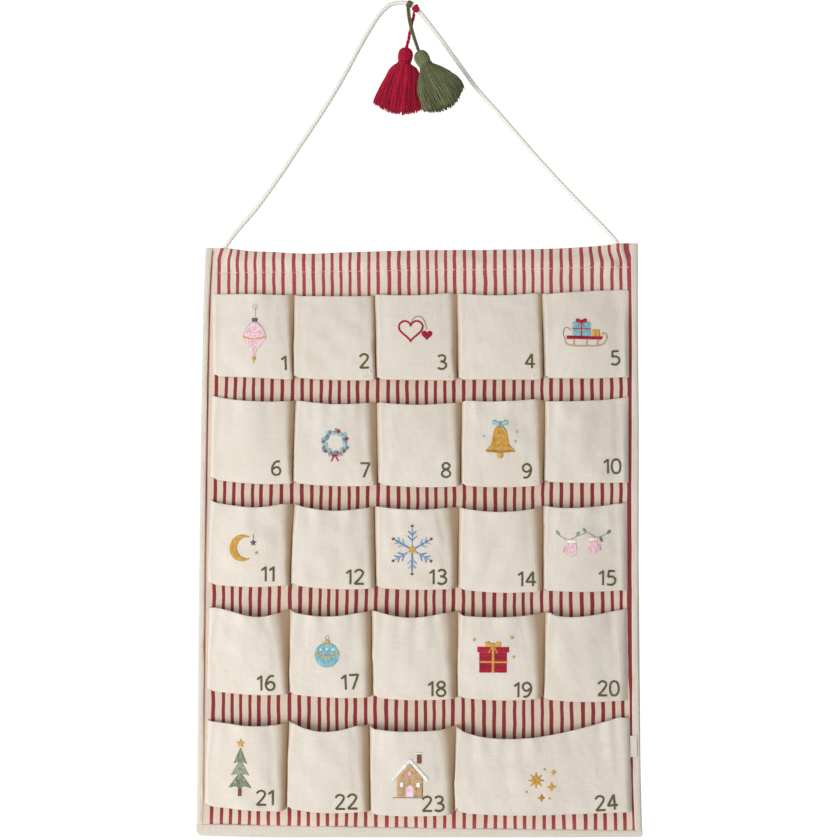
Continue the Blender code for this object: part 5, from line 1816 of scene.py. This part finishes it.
def make_camera():
    data = bpy.data.cameras.new("photo_camera")
    data.sensor_width = SENSOR_MM
    data.lens = FOCAL_PX * SENSOR_MM / FRAME_PX
    camera = bpy.data.objects.new("photo_camera", data)
    turn = Matrix((CAMERA_RIGHT, CAMERA_UP, -CAMERA_AHEAD)).transposed()
    camera.matrix_world = Matrix.Translation(CAMERA_PLACE) @ turn.to_4x4()
    bpy.context.scene.collection.objects.link(camera)
    bpy.context.scene.camera = camera


def softbox(name, place, aim, size, power, colour=(1.0, 1.0, 1.0)):
    data = bpy.data.lights.new(name, "AREA")
    data.shape = "RECTANGLE"
    data.size, data.size_y = size
    data.energy = power
    data.color = colour
    light = bpy.data.objects.new(name, data)
    light.location = place
    light.rotation_euler = (Vector(aim) - Vector(place)).to_track_quat("-Z", "Y").to_euler()
    bpy.context.scene.collection.objects.link(light)


def make_world():
    """Soft light from all round, with a white backdrop behind the calendar."""
    world = bpy.data.worlds.new("studio")
    bpy.context.scene.world = world
    world.use_nodes = True
    n = Tree(world.node_tree)
    n.tree.nodes.clear()
    # less light from above and from the right than from the front, below and the left
    x, _, z = n.split(n.add("ShaderNodeTexCoord").outputs["Generated"])
    height = n.ramp(z, -0.05, 0.60, AMBIENT, AMBIENT * AMBIENT_ABOVE, soft=False)
    ambient = n.fed("ShaderNodeBackground", AMBIENT_COLOUR, n.times(n.scaled_onto(x, -0.22, 1.0), height))
    white = n.fed("ShaderNodeBackground", (1.0, 1.0, 1.0, 1.0), BACKDROP)
    seen = n.add("ShaderNodeLightPath").outputs["Is Camera Ray"]
    mix = n.fed("ShaderNodeMixShader", seen, ambient[0], white[0])
    n.fed("ShaderNodeOutputWorld", mix[0])


def make_floor():
    edge = FLOOR_REACH
    verts = [(-edge, -edge, FLOOR_Z), (edge, -edge, FLOOR_Z), (edge, edge, FLOOR_Z), (-edge, edge, FLOOR_Z)]
    n = Nodes("pale_floor", roughness=0.8)
    floor = new_piece("studio_floor", verts, [(0, 1, 2, 3)], n.finish((0.82, 0.82, 0.81, 1.0)), body=None)


make_camera()
make_world()
make_floor()
softbox("key", (-2.0, -2.3, -1.45), (0.02, 0.0, -0.55), (2.2, 1.5), 56.0, CLOTH_LIGHT)
softbox("low", (-1.2, -1.9, -2.3), (0.02, 0.0, -0.55), (1.8, 1.2), 13.0, CLOTH_LIGHT)
softbox("top", (-0.7, -1.3, 0.2), (-0.1, 0.0, -0.4), (0.8, 0.8), 2.2, CLOTH_LIGHT)
bpy.context.scene.view_settings.view_transform = "Standard"

make_striped_cloth()
make_lining()
make_bindings()
make_stitches()
for pocket in range(1, 25):
    make_pocket(pocket)
    make_number(pocket)
    if pocket in MOTIFS_PX:
        make_motif(pocket)
cord_line = make_cord()
make_red_string(cord_line)
make_green_string(cord_line)
make_label()
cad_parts["hanging_rod"].data.materials.clear()
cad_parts["hanging_rod"].data.materials.append(WOOD)
